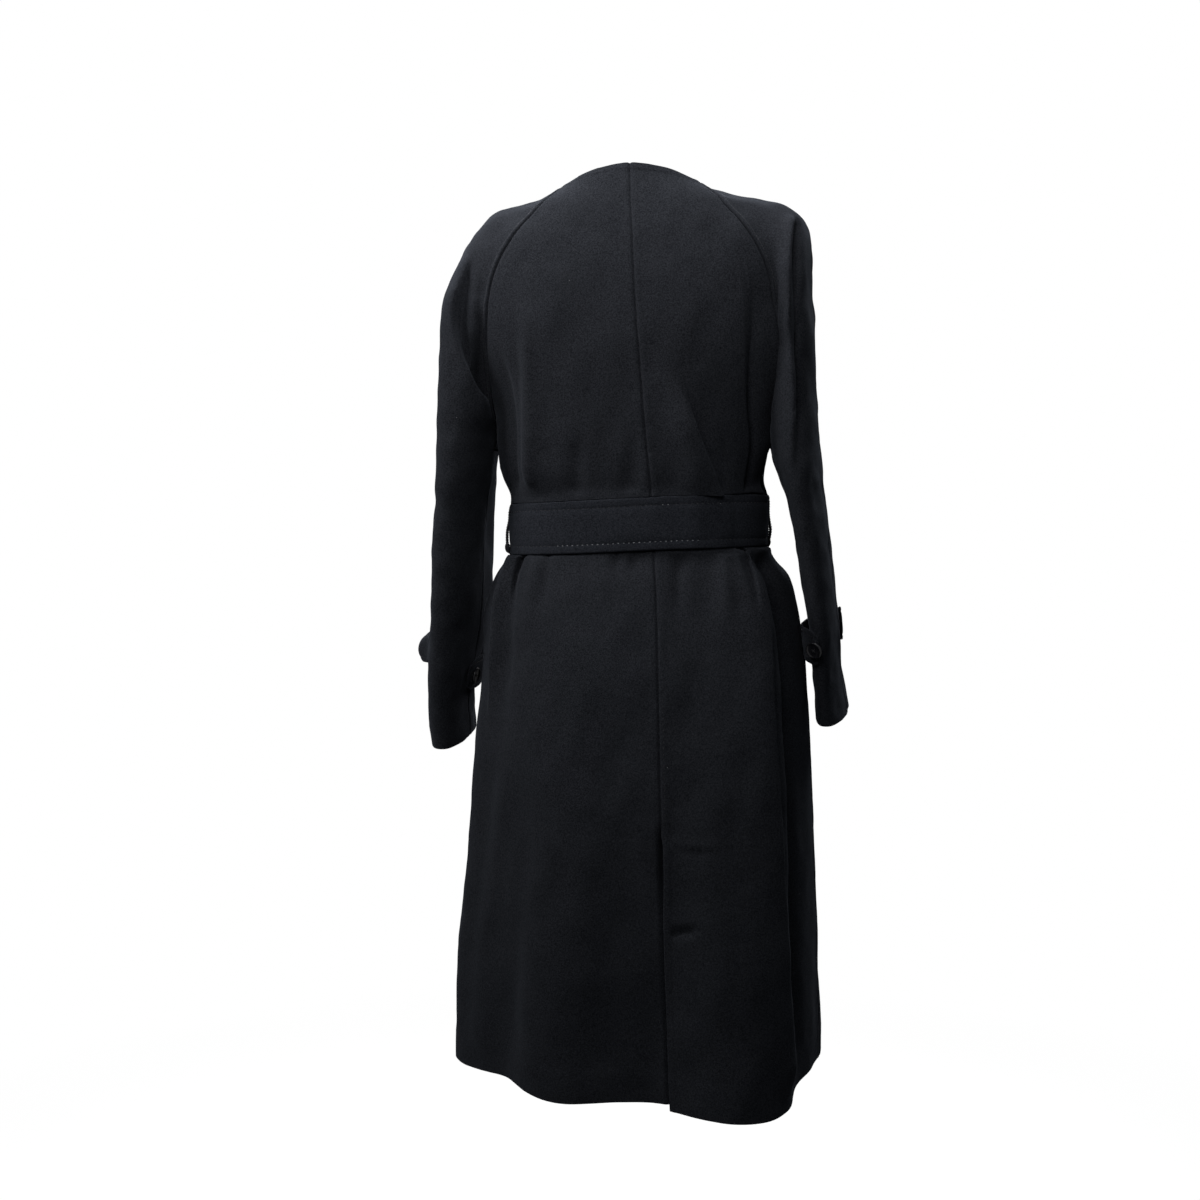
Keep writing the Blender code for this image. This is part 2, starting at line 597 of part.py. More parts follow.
def make_loop(side, word, material):
    """A thread loop that holds the belt at the side seam."""
    turn = float(side_turn(side, BELT_Z))
    middle = float(belt_level(turn))
    out = float(belt_radius(turn)) + BELT_THICKNESS + 0.0035
    half = BELT_WIDTH / 2
    foot = LOOP_STRAND + 0.0005
    low, high = middle - half - LOOP_REACH, middle + half + LOOP_REACH
    path = [
        (float(np.max(body_radius(turn, low + np.array([-0.008, 0.0, 0.004])))) + foot, low),
        (out - 0.003, middle - half - 0.003),
        (out, middle - half * 0.6),
        (out + 0.0008, middle),
        (out, middle + half * 0.6),
        (out - 0.003, middle + half + 0.003),
        (float(np.max(body_radius(turn, high + np.array([-0.004, 0.0, 0.008])))) + foot, high),
    ]
    angle = math.radians(turn)
    outwards = np.array([-math.sin(angle), math.cos(angle), 0.0])
    beside = np.array([outwards[1], -outwards[0], 0.0])
    points = np.array([outwards * radius + (0, 0, z) for radius, z in path])
    along = np.gradient(points, axis=0)
    along /= np.linalg.norm(along, axis=1, keepdims=True)
    lift = np.cross(along, beside)
    spokes = [math.tau * k / 6 for k in range(6)]
    mesh = bmesh.new()
    rings = [
        [mesh.verts.new(point + LOOP_STRAND * (math.cos(a) * beside + math.sin(a) * up)) for a in spokes]
        for point, up in zip(points, lift)
    ]
    for lower, upper in zip(rings[:-1], rings[1:]):
        for a in range(6):
            b = (a + 1) % 6
            mesh.faces.new((lower[a], lower[b], upper[b], upper[a]))
    mesh.faces.new(rings[0][::-1])
    mesh.faces.new(rings[-1])
    bmesh.ops.recalc_face_normals(mesh, faces=mesh.faces)
    finished(f"belt_loop_{word}", mesh, material)


# ---------------------------------------------------------------- cuff straps and buttons
def sleeve_shares(side):
    seam, _ = seam_loop(side)
    steps = np.linalg.norm(np.diff(seam, axis=0), axis=1)
    return np.concatenate([[0], np.cumsum(steps)]) / steps.sum()


def on_sleeve(side, share, z):
    """The point and normal of the sleeve's outer wall at a share round it and a height."""
    points, _, normals = sleeve_walls(side)
    shares = sleeve_shares(side)
    share = share % 1.0
    column = min(int(np.searchsorted(shares, share, side="right")) - 1, len(shares) - 2)
    across = (share - shares[column]) / (shares[column + 1] - shares[column])
    line, facing = (
        grid[:, column] * (1 - across) + grid[:, column + 1] * across for grid in (points, normals)
    )
    order = np.argsort(line[:, 2])
    point, normal = (
        np.array([np.interp(z, line[order, 2], values[order, k]) for k in range(3)])
        for values in (line, facing)
    )
    return point, normal / np.linalg.norm(normal)


def strap_stand_off(side, share, across=0.0):
    """across is -1 at the strap's lower edge and 1 at its upper edge, which lies closer."""
    closer = 1.0 - 0.2 * across - 0.5 * across**2 if side == LEFT else 1.0
    return LAYER_GAP + closer * sum(
        how_far * math.exp(-(((share - at) / half_width) ** 2))
        for at, how_far, half_width in STANDS_OFF[side]
    )


def make_strap(side, word, material):
    start, end, start_z, end_z, _ = STRAPS[side]
    shares = sleeve_shares(side)
    both = np.concatenate([shares[:-1], 1.0 + shares])
    inside = both[(both > start + 0.008) & (both < end - 0.008)]
    columns = np.concatenate([[start], inside, [end - 0.012, end]])
    points, _, _ = sleeve_walls(side)
    girth = np.linalg.norm(np.diff(points[-4], axis=0), axis=1).sum()
    half = STRAP_WIDTH / 2
    inner, outer = [], []
    for across in (-1.0, 0.0, 1.0):
        row = []
        for share in columns:
            reach = min((end - share) * girth / half, 1.0)
            width = half * (0.5 + 0.5 * math.sqrt(1 - (1 - reach) ** 2))
            level = start_z + (end_z - start_z) * (share - start) / (end - start)
            point, normal = on_sleeve(side, share, level + across * width)
            row.append((point, normal, strap_stand_off(side, share, across)))
        inner.append([point + normal * stand for point, normal, stand in row])
        outer.append([point + normal * (stand + STRAP_THICKNESS) for point, normal, stand in row])
    cells = np.ones((2, len(columns) - 1), bool)
    closed_wall(f"cuff_strap_{word}", np.array(outer), np.array(inner), cells, material)


def make_button(side, word, material):
    start, end, start_z, end_z, share = STRAPS[side]
    level = start_z + (end_z - start_z) * (share - start) / (end - start)

    def on_strap(share, level):
        point, normal = on_sleeve(side, share, level)
        return point + normal * (strap_stand_off(side, share) + STRAP_THICKNESS)

    _, outwards = on_sleeve(side, share, level)
    round_it = on_strap(share + 0.015, level) - on_strap(share - 0.015, level)
    normal = np.cross(on_strap(share, level + 0.008) - on_strap(share, level - 0.008), round_it)
    normal *= np.sign(normal @ outwards) / np.linalg.norm(normal)
    base = on_strap(share, level) + normal * 0.0007
    beside = np.cross((0.0, 0.0, 1.0), normal)
    beside /= np.linalg.norm(beside)
    up = np.cross(normal, beside)
    radius = BUTTON_RADIUS
    profile = ((radius * 0.85, 0.0), (radius, 0.0009), (radius, 0.0023), (radius * 0.88, 0.0033))
    profile += ((radius * 0.6, 0.0029),)
    mesh = bmesh.new()
    spokes = [math.tau * k / 16 for k in range(16)]
    rings = [
        [
            mesh.verts.new(base + normal * depth + radius * (math.cos(a) * beside + math.sin(a) * up))
            for a in spokes
        ]
        for radius, depth in profile
    ]
    for lower, upper in zip(rings[:-1], rings[1:]):
        for a in range(16):
            b = (a + 1) % 16
            mesh.faces.new((lower[a], lower[b], upper[b], upper[a]))
    mesh.faces.new(rings[0][::-1])
    mesh.faces.new(rings[-1])
    bmesh.ops.recalc_face_normals(mesh, faces=mesh.faces)
    finished(f"cuff_button_{word}", mesh, material)


for obj in list(bpy.data.objects):
    bpy.data.objects.remove(obj)
coat = bpy.data.collections.new("collarless_coat")
bpy.context.scene.collection.children.link(coat)
wool = plain_material("black_wool", (0.016, 0.017, 0.021), 0.9)
horn = plain_material("black_button", (0.010, 0.010, 0.011), 0.25)
thread = plain_material("black_thread", (0.014, 0.014, 0.016), 0.8)
make_backs(wool)
make_fronts(wool)
make_belt(wool)
make_keeper(wool)
for side, word in ((RIGHT, "right"), (LEFT, "left")):
    make_sleeve(side, word, wool)
    make_strap(side, word, wool)
    make_button(side, word, horn)
    make_loop(side, word, thread)
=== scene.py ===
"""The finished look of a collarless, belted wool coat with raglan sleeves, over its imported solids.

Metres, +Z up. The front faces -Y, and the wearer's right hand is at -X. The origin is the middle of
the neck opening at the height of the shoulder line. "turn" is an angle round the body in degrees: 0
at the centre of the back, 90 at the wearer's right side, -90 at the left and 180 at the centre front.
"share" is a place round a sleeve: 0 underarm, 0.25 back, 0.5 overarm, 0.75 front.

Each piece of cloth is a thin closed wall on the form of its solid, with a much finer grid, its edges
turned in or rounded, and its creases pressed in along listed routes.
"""

import math

import bpy
import numpy as np
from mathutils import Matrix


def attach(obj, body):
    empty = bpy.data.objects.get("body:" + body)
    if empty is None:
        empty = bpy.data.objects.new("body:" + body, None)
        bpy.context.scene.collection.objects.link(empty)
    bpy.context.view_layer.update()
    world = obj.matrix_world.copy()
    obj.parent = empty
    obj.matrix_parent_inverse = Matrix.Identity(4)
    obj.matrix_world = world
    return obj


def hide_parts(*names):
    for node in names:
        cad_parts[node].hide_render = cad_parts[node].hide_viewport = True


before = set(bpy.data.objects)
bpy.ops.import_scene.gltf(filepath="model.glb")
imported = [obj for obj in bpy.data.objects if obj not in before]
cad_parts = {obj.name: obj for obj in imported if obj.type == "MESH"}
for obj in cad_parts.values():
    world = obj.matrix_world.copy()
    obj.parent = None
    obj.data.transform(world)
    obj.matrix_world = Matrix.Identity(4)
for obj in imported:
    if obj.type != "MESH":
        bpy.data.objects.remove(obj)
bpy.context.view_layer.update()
bpy.context.scene.view_settings.view_transform = "Standard"

# ---------------------------------------------------------------- driving dimensions, in metres
CLOTH = 0.0025
LAYER_GAP = 0.0008
FRONTS_GAP = 0.0022
HEM_Z = -1.030
UNDERARM_Z = -0.283
VENT_TOP_Z = -0.729
VENT_UNDERLAP = 0.040
# Where the vent gapes: how far its edge moves aside and out, and how deep the underlap is hollowed.
VENT_EDGE_SHIFT, VENT_EDGE_LIFT, VENT_HOLLOW = 0.0018, 0.0015, 0.0080
BACK_STITCH_IN = 0.0048  # from the centre back seam to the row of stitches above the vent
FRONT_OVERLAP = 13.0  # how far past the centre front each front runs, as a turn

# Cloth turned in along an edge: its width, how softly it ends, and how far it stands up.
FREE_EDGE = (0.009, 0.003, 0.0004)
NECK_EDGE = (0.0095, 0.002, 0.00045)
HEM_EDGE = (0.038, 0.004, 0.0004)
CUFF_EDGE = (0.030, 0.004, 0.0004)
SEAM_ALLOWANCE, SEAM_RISE = 0.0105, 0.00035
SEAM_GROOVE, GROOVE_HALF_WIDTH = 0.0013, 0.0012
SEAM_OVERLAP = 0.00015  # each of two sewn edges runs this far into the other

BELT_Z = -0.393
BELT_WIDTH = 0.060
BELT_THICKNESS = 0.0040
BELT_GAP = 0.0003
BELT_TILT, WAIST_HALF_WIDTH = -0.036, 0.15  # its rise for each metre towards the wearer's left
BELT_START, BELT_END = -205.0, 205.0
BELT_END_RADIUS = 0.115  # of the belt near its two ends
BELT_SINK, BELT_PULL = 0.0008, 0.0036  # how far it draws in all round, and further at the two sides
BELT_SWELL, SWELL_REACH = 0.0036, 0.013  # of the cloth beside it
BELT_STITCH_IN = 0.0095  # from the belt's edges to its rows of stitches
HIGHLIT_STITCHES = ((-41.0, 43.0), (22.0, 29.0))  # turns of the part of its lower and upper rows whose stitches are painted pale as a highlight
OVERLAP_FROM, OVERLAP_BLEND = 134.0, 16.0  # turns over which one end comes to lie on the other
FRONT_SLACK = 0.0026  # how far the belt stands off at the centre front
BELT_SEWN = 200.0  # its rows of stitches end at this turn, on both sides
ROLL_BEHIND_FACE = 0.0010  # the cloth beside the belt's edge comes this near to its face
MERGING = 4e-7  # how softly a ridge merges with that roll, in square metres
KEEPER_WIDTH = 0.022
KEEPER_CLOTH = 0.0016
KEEPER_GAP = 0.0004

STRAP_WIDTH = 0.040
STRAP_THICKNESS = 0.0030
STRAP_STITCH_IN = 0.006
STRAP_GAP = 0.0003
TIP_STEPS = np.array([0, 0.0003, 0.0008, 0.0016, 0.003, 0.005, 0.0075, 0.0105, 0.014, 0.018])
BUTTON_RADIUS = 0.010
# Round the button from its back, over its rim and into its dish: shares of its radius, and heights.
BUTTON_PROFILE = (
    (0.80, 0.0), (0.95, 0.0003), (1.0, 0.0009), (1.0, 0.0021), (0.985, 0.0027), (0.955, 0.0031),
    (0.91, 0.0033), (0.86, 0.0033), (0.80, 0.0030), (0.74, 0.0025), (0.68, 0.0023), (0.45, 0.0022),
    (0.2, 0.0021),
)
BUTTON_SIDES = 64
BUTTON_LIFT = 0.0007  # its thread holds it this far off the strap
HOLE_OUT, HOLE_HEIGHT, HOLE_RADIUS = 0.0021, 0.00225, 0.00062
RIM_THREAD, CROSS_THREAD = 0.00016, 0.00025  # radii of the thread round each hole and across
WELT = 0.0070  # from the raglan seam to its row of stitches
WELT_RISE, WELT_GROOVE, WELT_STITCH_GROOVE = 0.0012, 0.0030, 0.0009
SEAM_FADE = 0.012  # how near its seam the sleeve takes the form of the body

# Pitch, length and radius of each kind of stitch.
STITCHES = {
    "raglan": (0.0042, 0.0028, 0.00030),
    "strap": (0.0042, 0.0028, 0.00035),
    "belt": (0.0060, 0.0026, 0.00042),
    # the pale stitches that paint a highlight on the belt
    "highlit belt": (0.0060, 0.0021, 0.00062),
    "back seam": (0.0066, 0.0024, 0.00034),
}
STITCH_PROFILE = ((-0.5, 0.25), (-0.40, 0.8), (0.0, 1.0), (0.40, 0.8), (0.5, 0.25))  # along and wide
STITCH_SIDES = 6
STITCH_UNEVEN, STITCH_RAISED, STITCH_SAG, STITCH_FLAT = 0.03, 0.35, 1.4, 0.8  # of its pitch or radius

RIGHT, LEFT = 1.0, -1.0
CELL = 0.004
BACK_WIDTH, FRONT_WIDTH, SLEEVE_HALF_WIDTH = 0.30, 0.22, 0.20  # for the number of cells across
DENSE_AT = {RIGHT: 0.60, LEFT: 0.76}  # how far across each back its cells are smallest
DENSER, DENSE_HALF_WIDTH = 1.6, 0.16
CORNER_ANGLE = 55.0  # a bend sharper than this is shaded as a corner
EDGE_STEPS = np.array(  # places of the grid's lines near a seam or an edge
    [0, 0.0003, 0.0007, 0.0012, 0.0020, 0.0032, 0.0048, 0.0062, 0.0070, 0.0078, 0.0092, 0.0115, 0.015, 0.02]
)
# Distances of the vent underlap's columns beyond the centre back seam, from its free edge inwards.
UNDERLAP = VENT_UNDERLAP - np.unique([*EDGE_STEPS[:8], *np.arange(0.010, VENT_UNDERLAP, CELL)])

# ---------------------------------------------------------------- the body's form, as in the part
SECTION = ("z", "right", "left", "back", "front", "power", "twist")
SECTIONS = np.array([
    (0.030, 0.062, 0.066, 0.057, 0.050, 2.3, -1.0),
    (0.012, 0.069, 0.077, 0.065, 0.058, 2.4, 0.2),
    (0.000, 0.081, 0.090, 0.070, 0.064, 2.6, 1.0),
    (-0.028, 0.128, 0.132, 0.082, 0.074, 3.0, 2.8),
    (-0.054, 0.160, 0.162, 0.091, 0.085, 3.2, 4.3),
    (-0.086, 0.186, 0.183, 0.100, 0.098, 3.2, 5.5),
    (-0.120, 0.194, 0.189, 0.107, 0.112, 3.2, 6.5),
    (-0.150, 0.191, 0.189, 0.111, 0.124, 3.1, 7.4),
    (-0.190, 0.185, 0.186, 0.113, 0.135, 2.8, 8.9),
    (-0.228, 0.172, 0.178, 0.112, 0.138, 2.6, 10.4),
    (-0.267, 0.158, 0.1695, 0.110, 0.136, 2.5, 12.0),
    (-0.300, 0.153, 0.1675, 0.108, 0.130, 2.5, 13.6),
    (-0.336, 0.1485, 0.161, 0.105, 0.122, 2.5, 15.7),
    (-0.360, 0.1490, 0.1505, 0.100, 0.113, 2.5, 17.0),
    (-0.393, 0.1510, 0.1460, 0.097, 0.109, 2.5, 18.2),
    (-0.426, 0.1560, 0.1485, 0.099, 0.111, 2.5, 18.8),
    (-0.450, 0.1750, 0.1650, 0.108, 0.119, 2.5, 18.8),
    (-0.482, 0.1855, 0.1755, 0.118, 0.128, 2.5, 18.6),
    (-0.550, 0.1955, 0.1790, 0.132, 0.139, 2.5, 18.2),
    (-0.640, 0.2010, 0.1875, 0.142, 0.147, 2.5, 18.2),
    (-0.790, 0.2055, 0.1975, 0.152, 0.156, 2.4, 18.9),
    (-0.930, 0.2080, 0.2095, 0.157, 0.162, 2.4, 20.0),
    (-1.060, 0.2095, 0.2095, 0.160, 0.166, 2.4, 21.0),
])
# (turn_belt, turn_hem, rise_belt, rise_hem, half_width)
FLUTES = np.array([
    (58.0, 43.0, 0.004, 0.040, 20.0),
    (76.0, 72.0, -0.008, -0.009, 11.0),
    (46.0, 18.0, -0.004, -0.006, 10.0),
    (-30.0, -25.0, 0.000, 0.010, 18.0),
    (-58.0, -54.0, -0.004, -0.026, 16.0),
    (-78.0, -84.0, 0.004, 0.012, 11.0),
    (-108.0, -106.0, -0.003, -0.016, 15.0),
    (-133.0, -132.0, 0.003, 0.020, 16.0),
    (-158.0, -160.0, 0.000, -0.012, 14.0),
    (157.0, 161.0, 0.002, 0.010, 14.0),
    (133.0, 136.0, -0.003, -0.018, 16.0),
    (112.0, 112.0, 0.003, 0.019, 15.0),
])
FLUTES_START_Z = -0.424
# (turn_top, z_top, turn_belt, rise, half_width)
FOLDS = np.array([
    (50.0, -0.140, 53.0, 0.008, 8.0),
    (-49.0, -0.140, -51.0, 0.007, 8.0),
    (62.0, -0.200, 70.0, -0.007, 8.0),
    (-62.0, -0.200, -69.0, -0.006, 8.0),
    (24.0, -0.215, 42.0, 0.006, 7.0),
    (140.0, -0.220, 148.0, 0.006, 11.0),
    (-140.0, -0.220, -147.0, 0.006, 11.0),
])
FOLDS_END_Z = -0.366
EVENED_FOLDS, EVENED_SHARE = (0, 2), 0.85  # sharper folds take the place of these two
# Where the hem hangs lower on each side: turn, drop and half-width.
HEM_DROP_START_Z = -0.80
HEM_DROPS = {
    LEFT: ((-20.0, 0.005, 18.0), (-76.0, 0.006, 18.0)),
    RIGHT: ((48.0, 0.013, 28.0), (10.0, 0.002, 20.0)),
}
# (back_turn, back_z, centre_back_z, front_turn, front_z, centre_front_z)
RAGLAN_ROWS = np.array([
    (90.0, -0.2830, -0.2830, 90.0, -0.2830, -0.2830),
    (80.5, -0.2620, -0.2620, 102.0, -0.2620, -0.2640),
    (72.8, -0.2320, -0.2320, 112.0, -0.2350, -0.2390),
    (67.3, -0.1950, -0.1940, 119.0, -0.2010, -0.2080),
    (64.0, -0.1520, -0.1500, 123.0, -0.1600, -0.1730),
    (62.4, -0.1180, -0.1120, 124.6, -0.1270, -0.1490),
    (60.8, -0.0840, -0.0740, 125.2, -0.0940, -0.1270),
    (59.6, -0.0540, -0.0380, 125.0, -0.0630, -0.1080),
    (59.4, -0.0270, -0.0060, 123.6, -0.0360, -0.0920),
    (66.0, 0.0000, 0.0190, 121.0, -0.0120, -0.0780),
])
NECK_ROW = len(RAGLAN_ROWS) - 1
RAGLAN_ROW_STEP = 0.026  # usual distance between two of these rows
NECK_ARC = 3  # points of the sleeve's own neck edge between its two raglan seams
NECK_CURVE, FRONT_NECK_CURVE = 2.2, 1.7  # how the rows bend across the back and the front

# (inner_x, inner_z, outer_x, outer_z, centre_y, half_depth, toe, lean)
LEFT_RINGS = np.array([
    (0.1730, -0.3010, 0.2000, -0.0410, 0.000, 0.083, 0.0, 0.00),
    (0.1730, -0.3160, 0.2235, -0.1450, 0.002, 0.086, 1.0, 0.00),
    (0.1750, -0.3350, 0.2315, -0.2550, 0.003, 0.086, 2.0, 0.00),
    (0.1795, -0.3600, 0.2345, -0.3500, 0.002, 0.084, 2.5, 0.00),
    (0.1870, -0.4350, 0.2400, -0.4350, -0.002, 0.080, 3.0, 0.02),
    (0.1990, -0.5250, 0.2490, -0.5250, -0.012, 0.074, 2.0, 0.06),
    (0.2150, -0.6040, 0.2585, -0.6040, -0.024, 0.069, -1.0, 0.10),
    (0.2165, -0.6540, 0.2545, -0.6540, -0.034, 0.066, -1.0, 0.13),
])
RIGHT_RINGS = np.array([
    (0.1580, -0.3010, 0.1930, -0.0435, 0.000, 0.083, 0.0, 0.00),
    (0.1590, -0.3150, 0.2035, -0.1350, 0.002, 0.087, 1.0, 0.00),
    (0.1640, -0.3300, 0.2090, -0.2500, 0.003, 0.087, 0.0, 0.00),
    (0.1745, -0.3560, 0.2170, -0.3400, 0.002, 0.086, -1.0, 0.00),
    (0.1895, -0.4250, 0.2270, -0.4250, -0.003, 0.081, -1.0, 0.02),
    (0.2030, -0.5050, 0.2345, -0.5050, -0.014, 0.075, -2.0, 0.06),
    (0.2090, -0.5700, 0.2385, -0.5700, -0.026, 0.070, -4.0, 0.10),
    (0.2150, -0.6170, 0.2450, -0.6170, -0.035, 0.067, -6.0, 0.12),
])
RING_SPANS = (0.110, 0.100, 0.105, 0.090, 0.085, 0.090, 0.080, 0.050)  # down the outer side
CUFF = len(RING_SPANS)  # the place of the sleeve's end, counted by ring from its seam
RING_POWER = 2.5
CREASE_HEIGHT = 0.11  # from the underarm up to where the sleeve leaves the body smoothly

# Each thread loop's route up the belt's face: how far it stands off the face, and its height, where
# -1 and 1 are the belt's edges.
LOOPS = {
    RIGHT: (
        (-0.004, -1.06), (-0.0006, -0.86), (0.0014, -0.55), (0.0019, -0.30),
        (0.0004, -0.02), (-0.0006, 0.30), (-0.0008, 0.80), (-0.004, 1.04),
    ),
    LEFT: (
        (-0.004, -1.08), (0.0024, -0.85), (0.0038, -0.60), (0.0042, -0.30),
        (0.0036, 0.0), (0.0014, 0.35), (0.0004, 0.75), (-0.004, 1.04),
    ),
}
LOOP_POINTS = 160  # along each strand
STRAND_RADIUS, STRAND_OUT, STRAND_TWIST = 0.0011, 0.0009, 0.0060
# Its lower and upper knots: place along the strands, half-length and radius.
LOOP_KNOTS = {
    RIGHT: ((16, 0.0062, 0.0034), (-14, 0.0040, 0.0026)),
    LEFT: ((34, 0.0062, 0.0034), (-14, 0.0040, 0.0026)),
}

# Each cuff strap: the shares at its seamed end and its tip, its heights there, and its button's share.
STRAPS = {RIGHT: (0.57, 1.245, -0.510, -0.534, 1.214), LEFT: (0.45, 1.050, -0.541, -0.578, 1.012)}
# Where it stands off its sleeve: share, how far, and half-width.
STANDS_OFF = {
    RIGHT: ((1.04, 0.0070, 0.075), (0.75, 0.0015, 0.080)),
    LEFT: ((0.505, 0.0210, 0.030), (0.93, 0.0060, 0.060)),
}

# ---------------------------------------------------------------- creases
# On the body: rise, half-width, fade at each end as a share of the length, and a route of turns and
# heights. A negative rise is a trough. One that is marked as a step is high on the route's left.
STEP, SHARP_STEP = "step", "sharp step"
STEP_GAIN = 2.3  # brings the top of a step up to its stated rise
SHARP = 0.0018  # how far from its route a sharp step turns over
CREASE_REACH = 2.6  # in half-widths
BODY_CREASES = (
    # the back above the belt: its flat middle ends in a fold at each side
    (0.0034, (0.0330, 0.0026), 0.02, 0.45,
     ((64, -0.362), (62.5, -0.308), (58, -0.253), (54.5, -0.199), (54, -0.156), (54, -0.080))),
    (-0.0042, (0.0022, 0.0080), 0.05, 0.40,
     ((66, -0.362), (65, -0.308), (60.5, -0.253), (57, -0.199), (56.5, -0.156), (56.5, -0.080))),
    (-0.0050, 0.0240, 0.20, 0.45, ((88, -0.362), (88, -0.330), (88, -0.305), (89, -0.280))),
    (0.0125, (0.0340, 0.0180), 0.30, 0.25,
     ((77, -0.360), (76, -0.300), (73, -0.250), (71, -0.200), (71, -0.140))),
    (0.0112, (0.0230, 0.0022), 0.01, 0.50,
     ((54, -0.366), (51.5, -0.3560), (46, -0.3310), (39.5, -0.2980), (32, -0.2480), (24, -0.2220))),
    (0.0036, 0.0120, 0.30, 0.06,
     ((-50, -0.130), (-49.5, -0.200), (-51, -0.262), (-52.5, -0.307), (-56, -0.352)), STEP),
    (-0.0055, 0.0080, 0.30, 0.10, ((-61, -0.170), (-60, -0.240), (-62, -0.300), (-67, -0.356))),
    (-0.0028, 0.0100, 0.50, 0.10, ((8, -0.270), (5, -0.320), (3, -0.360))),
    (-0.0030, 0.0090, 0.50, 0.08, ((-22, -0.280), (-27, -0.320), (-30, -0.360))),
    # the back below the belt
    (0.0085, (0.0100, 0.0040), 0.04, 0.50,
     ((-66, -0.424), (-67.5, -0.441), (-66.5, -0.480), (-66, -0.540), (-67, -0.640))),
    (-0.0052, 0.0110, 0.30, 0.55, ((-59.5, -0.440), (-59, -0.480), (-58.5, -0.550), (-58.5, -0.660))),
    (0.0035, 0.0100, 0.10, 0.60, ((-52, -0.430), (-49, -0.460), (-47, -0.540))),
    (-0.0040, 0.0060, 0.05, 0.70, ((-47, -0.424), (-43, -0.450), (-41, -0.500))),
    (-0.0035, 0.0060, 0.05, 0.80, ((-6, -0.424), (-5, -0.436), (-4, -0.460))),
    (-0.0030, 0.0060, 0.05, 0.80, ((7, -0.424), (6, -0.436), (4, -0.455))),
    (0.0040, 0.0080, 0.05, 0.60, ((54, -0.424), (50, -0.450), (47, -0.520))),
    (-0.0040, 0.0080, 0.05, 0.60, ((34, -0.424), (30, -0.460), (28, -0.520))),
    # the skirt's long folds: a sharp ridge before the dark side, and shallow valleys on the left
    (0.0085, (0.0260, 0.0045), 0.06, 0.02,
     ((60, -1.028), (57.5, -0.926), (56.5, -0.800), (56, -0.654), (57.5, -0.568), (61, -0.504),
      (62, -0.453), (63, -0.436), (63, -0.418))),
    (-0.0110, 0.0150, 0.20, 0.02,
     ((72, -1.028), (70, -0.900), (69, -0.760), (69, -0.620), (73, -0.500), (73, -0.455), (73, -0.424))),
    (0.0030, 0.0260, 0.20, 0.10, ((-58, -0.620), (-62, -0.740), (-66, -0.857), (-69, -1.028)), STEP),
    (-0.0035, 0.0200, 0.35, 0.20, ((-36, -0.620), (-40, -0.760), (-44, -0.900), (-46, -1.028))),
    (0.0030, 0.0240, 0.35, 0.20, ((-10, -0.660), (-12, -0.800), (-14, -0.960))),
    (-0.0030, 0.0200, 0.35, 0.20, ((44, -0.600), (42, -0.760), (40, -0.900), (38, -1.028))),
    # by the vent
    (-0.0012, 0.0042, 0.30, 0.60, ((20, -0.7485), (31, -0.7515), (50, -0.7500))),
    (0.0010, 0.0046, 0.30, 0.50, ((20, -0.7420), (32, -0.7450), (48, -0.7430))),
    (-0.0042, 0.0044, 0.30, 0.30, ((20.5, -0.8430), (25, -0.8400), (31, -0.8350))),
    # the front, which the back implies
    (0.0055, 0.0130, 0.40, 0.10, ((152, -0.180), (150, -0.260), (147, -0.320), (142, -0.358)), STEP),
    (0.0035, 0.0100, 0.40, 0.12, ((160, -0.230), (163, -0.290), (166, -0.356))),
    (-0.0060, 0.0080, 0.30, 0.08, ((-150, -0.190), (-147, -0.255), (-141, -0.315), (-136, -0.358))),
    (0.0040, 0.0100, 0.45, 0.12, ((-133, -0.220), (-129, -0.290), (-126, -0.354))),
    (-0.0090, 0.0050, 0.04, 0.55, ((136, -0.424), (131, -0.450), (128, -0.530))),
    (-0.0085, 0.0050, 0.04, 0.60, ((-128, -0.424), (-131, -0.450), (-134, -0.510))),
    (-0.0045, 0.0070, 0.05, 0.60, ((158, -0.424), (156, -0.460), (155, -0.540))),
    (-0.0050, 0.0060, 0.05, 0.60, ((-160, -0.424), (-158, -0.450), (-155, -0.510))),
    (0.0065, (0.0200, 0.0080), 0.25, 0.05,
     ((143, -0.470), (141, -0.560), (140, -0.700), (142, -0.860), (141, -1.028))),
    (-0.0060, (0.0090, 0.0240), 0.30, 0.10, ((154, -0.520), (153, -0.640), (155, -0.800), (156, -1.028))),
    (0.0060, (0.0090, 0.0210), 0.30, 0.05,
     ((-139, -0.500), (-140, -0.620), (-137, -0.800), (-138, -1.028))),
    (-0.0055, (0.0220, 0.0100), 0.30, 0.12,
     ((-152, -0.560), (-151, -0.700), (-148, -0.860), (-149, -1.028))),
    (0.0070, 0.0180, 0.15, 0.20, ((-120, -0.560), (-117, -0.700), (-116, -0.860), (-118, -1.028)), STEP),
    (-0.0060, 0.0180, 0.20, 0.20, ((124, -0.580), (126, -0.740), (124, -0.900), (122, -1.028))),
    # the sides
    (-0.0080, 0.0055, 0.05, 0.50, ((95, -0.424), (98, -0.455), (99, -0.520))),
    (-0.0070, 0.0060, 0.05, 0.55, ((-92, -0.424), (-95, -0.460), (-94, -0.540))),
    (-0.0050, 0.0075, 0.40, 0.08, ((98, -0.300), (93, -0.330), (90, -0.360))),
    (-0.0045, 0.0075, 0.40, 0.08, ((-84, -0.300), (-87, -0.330), (-88, -0.360))),
)

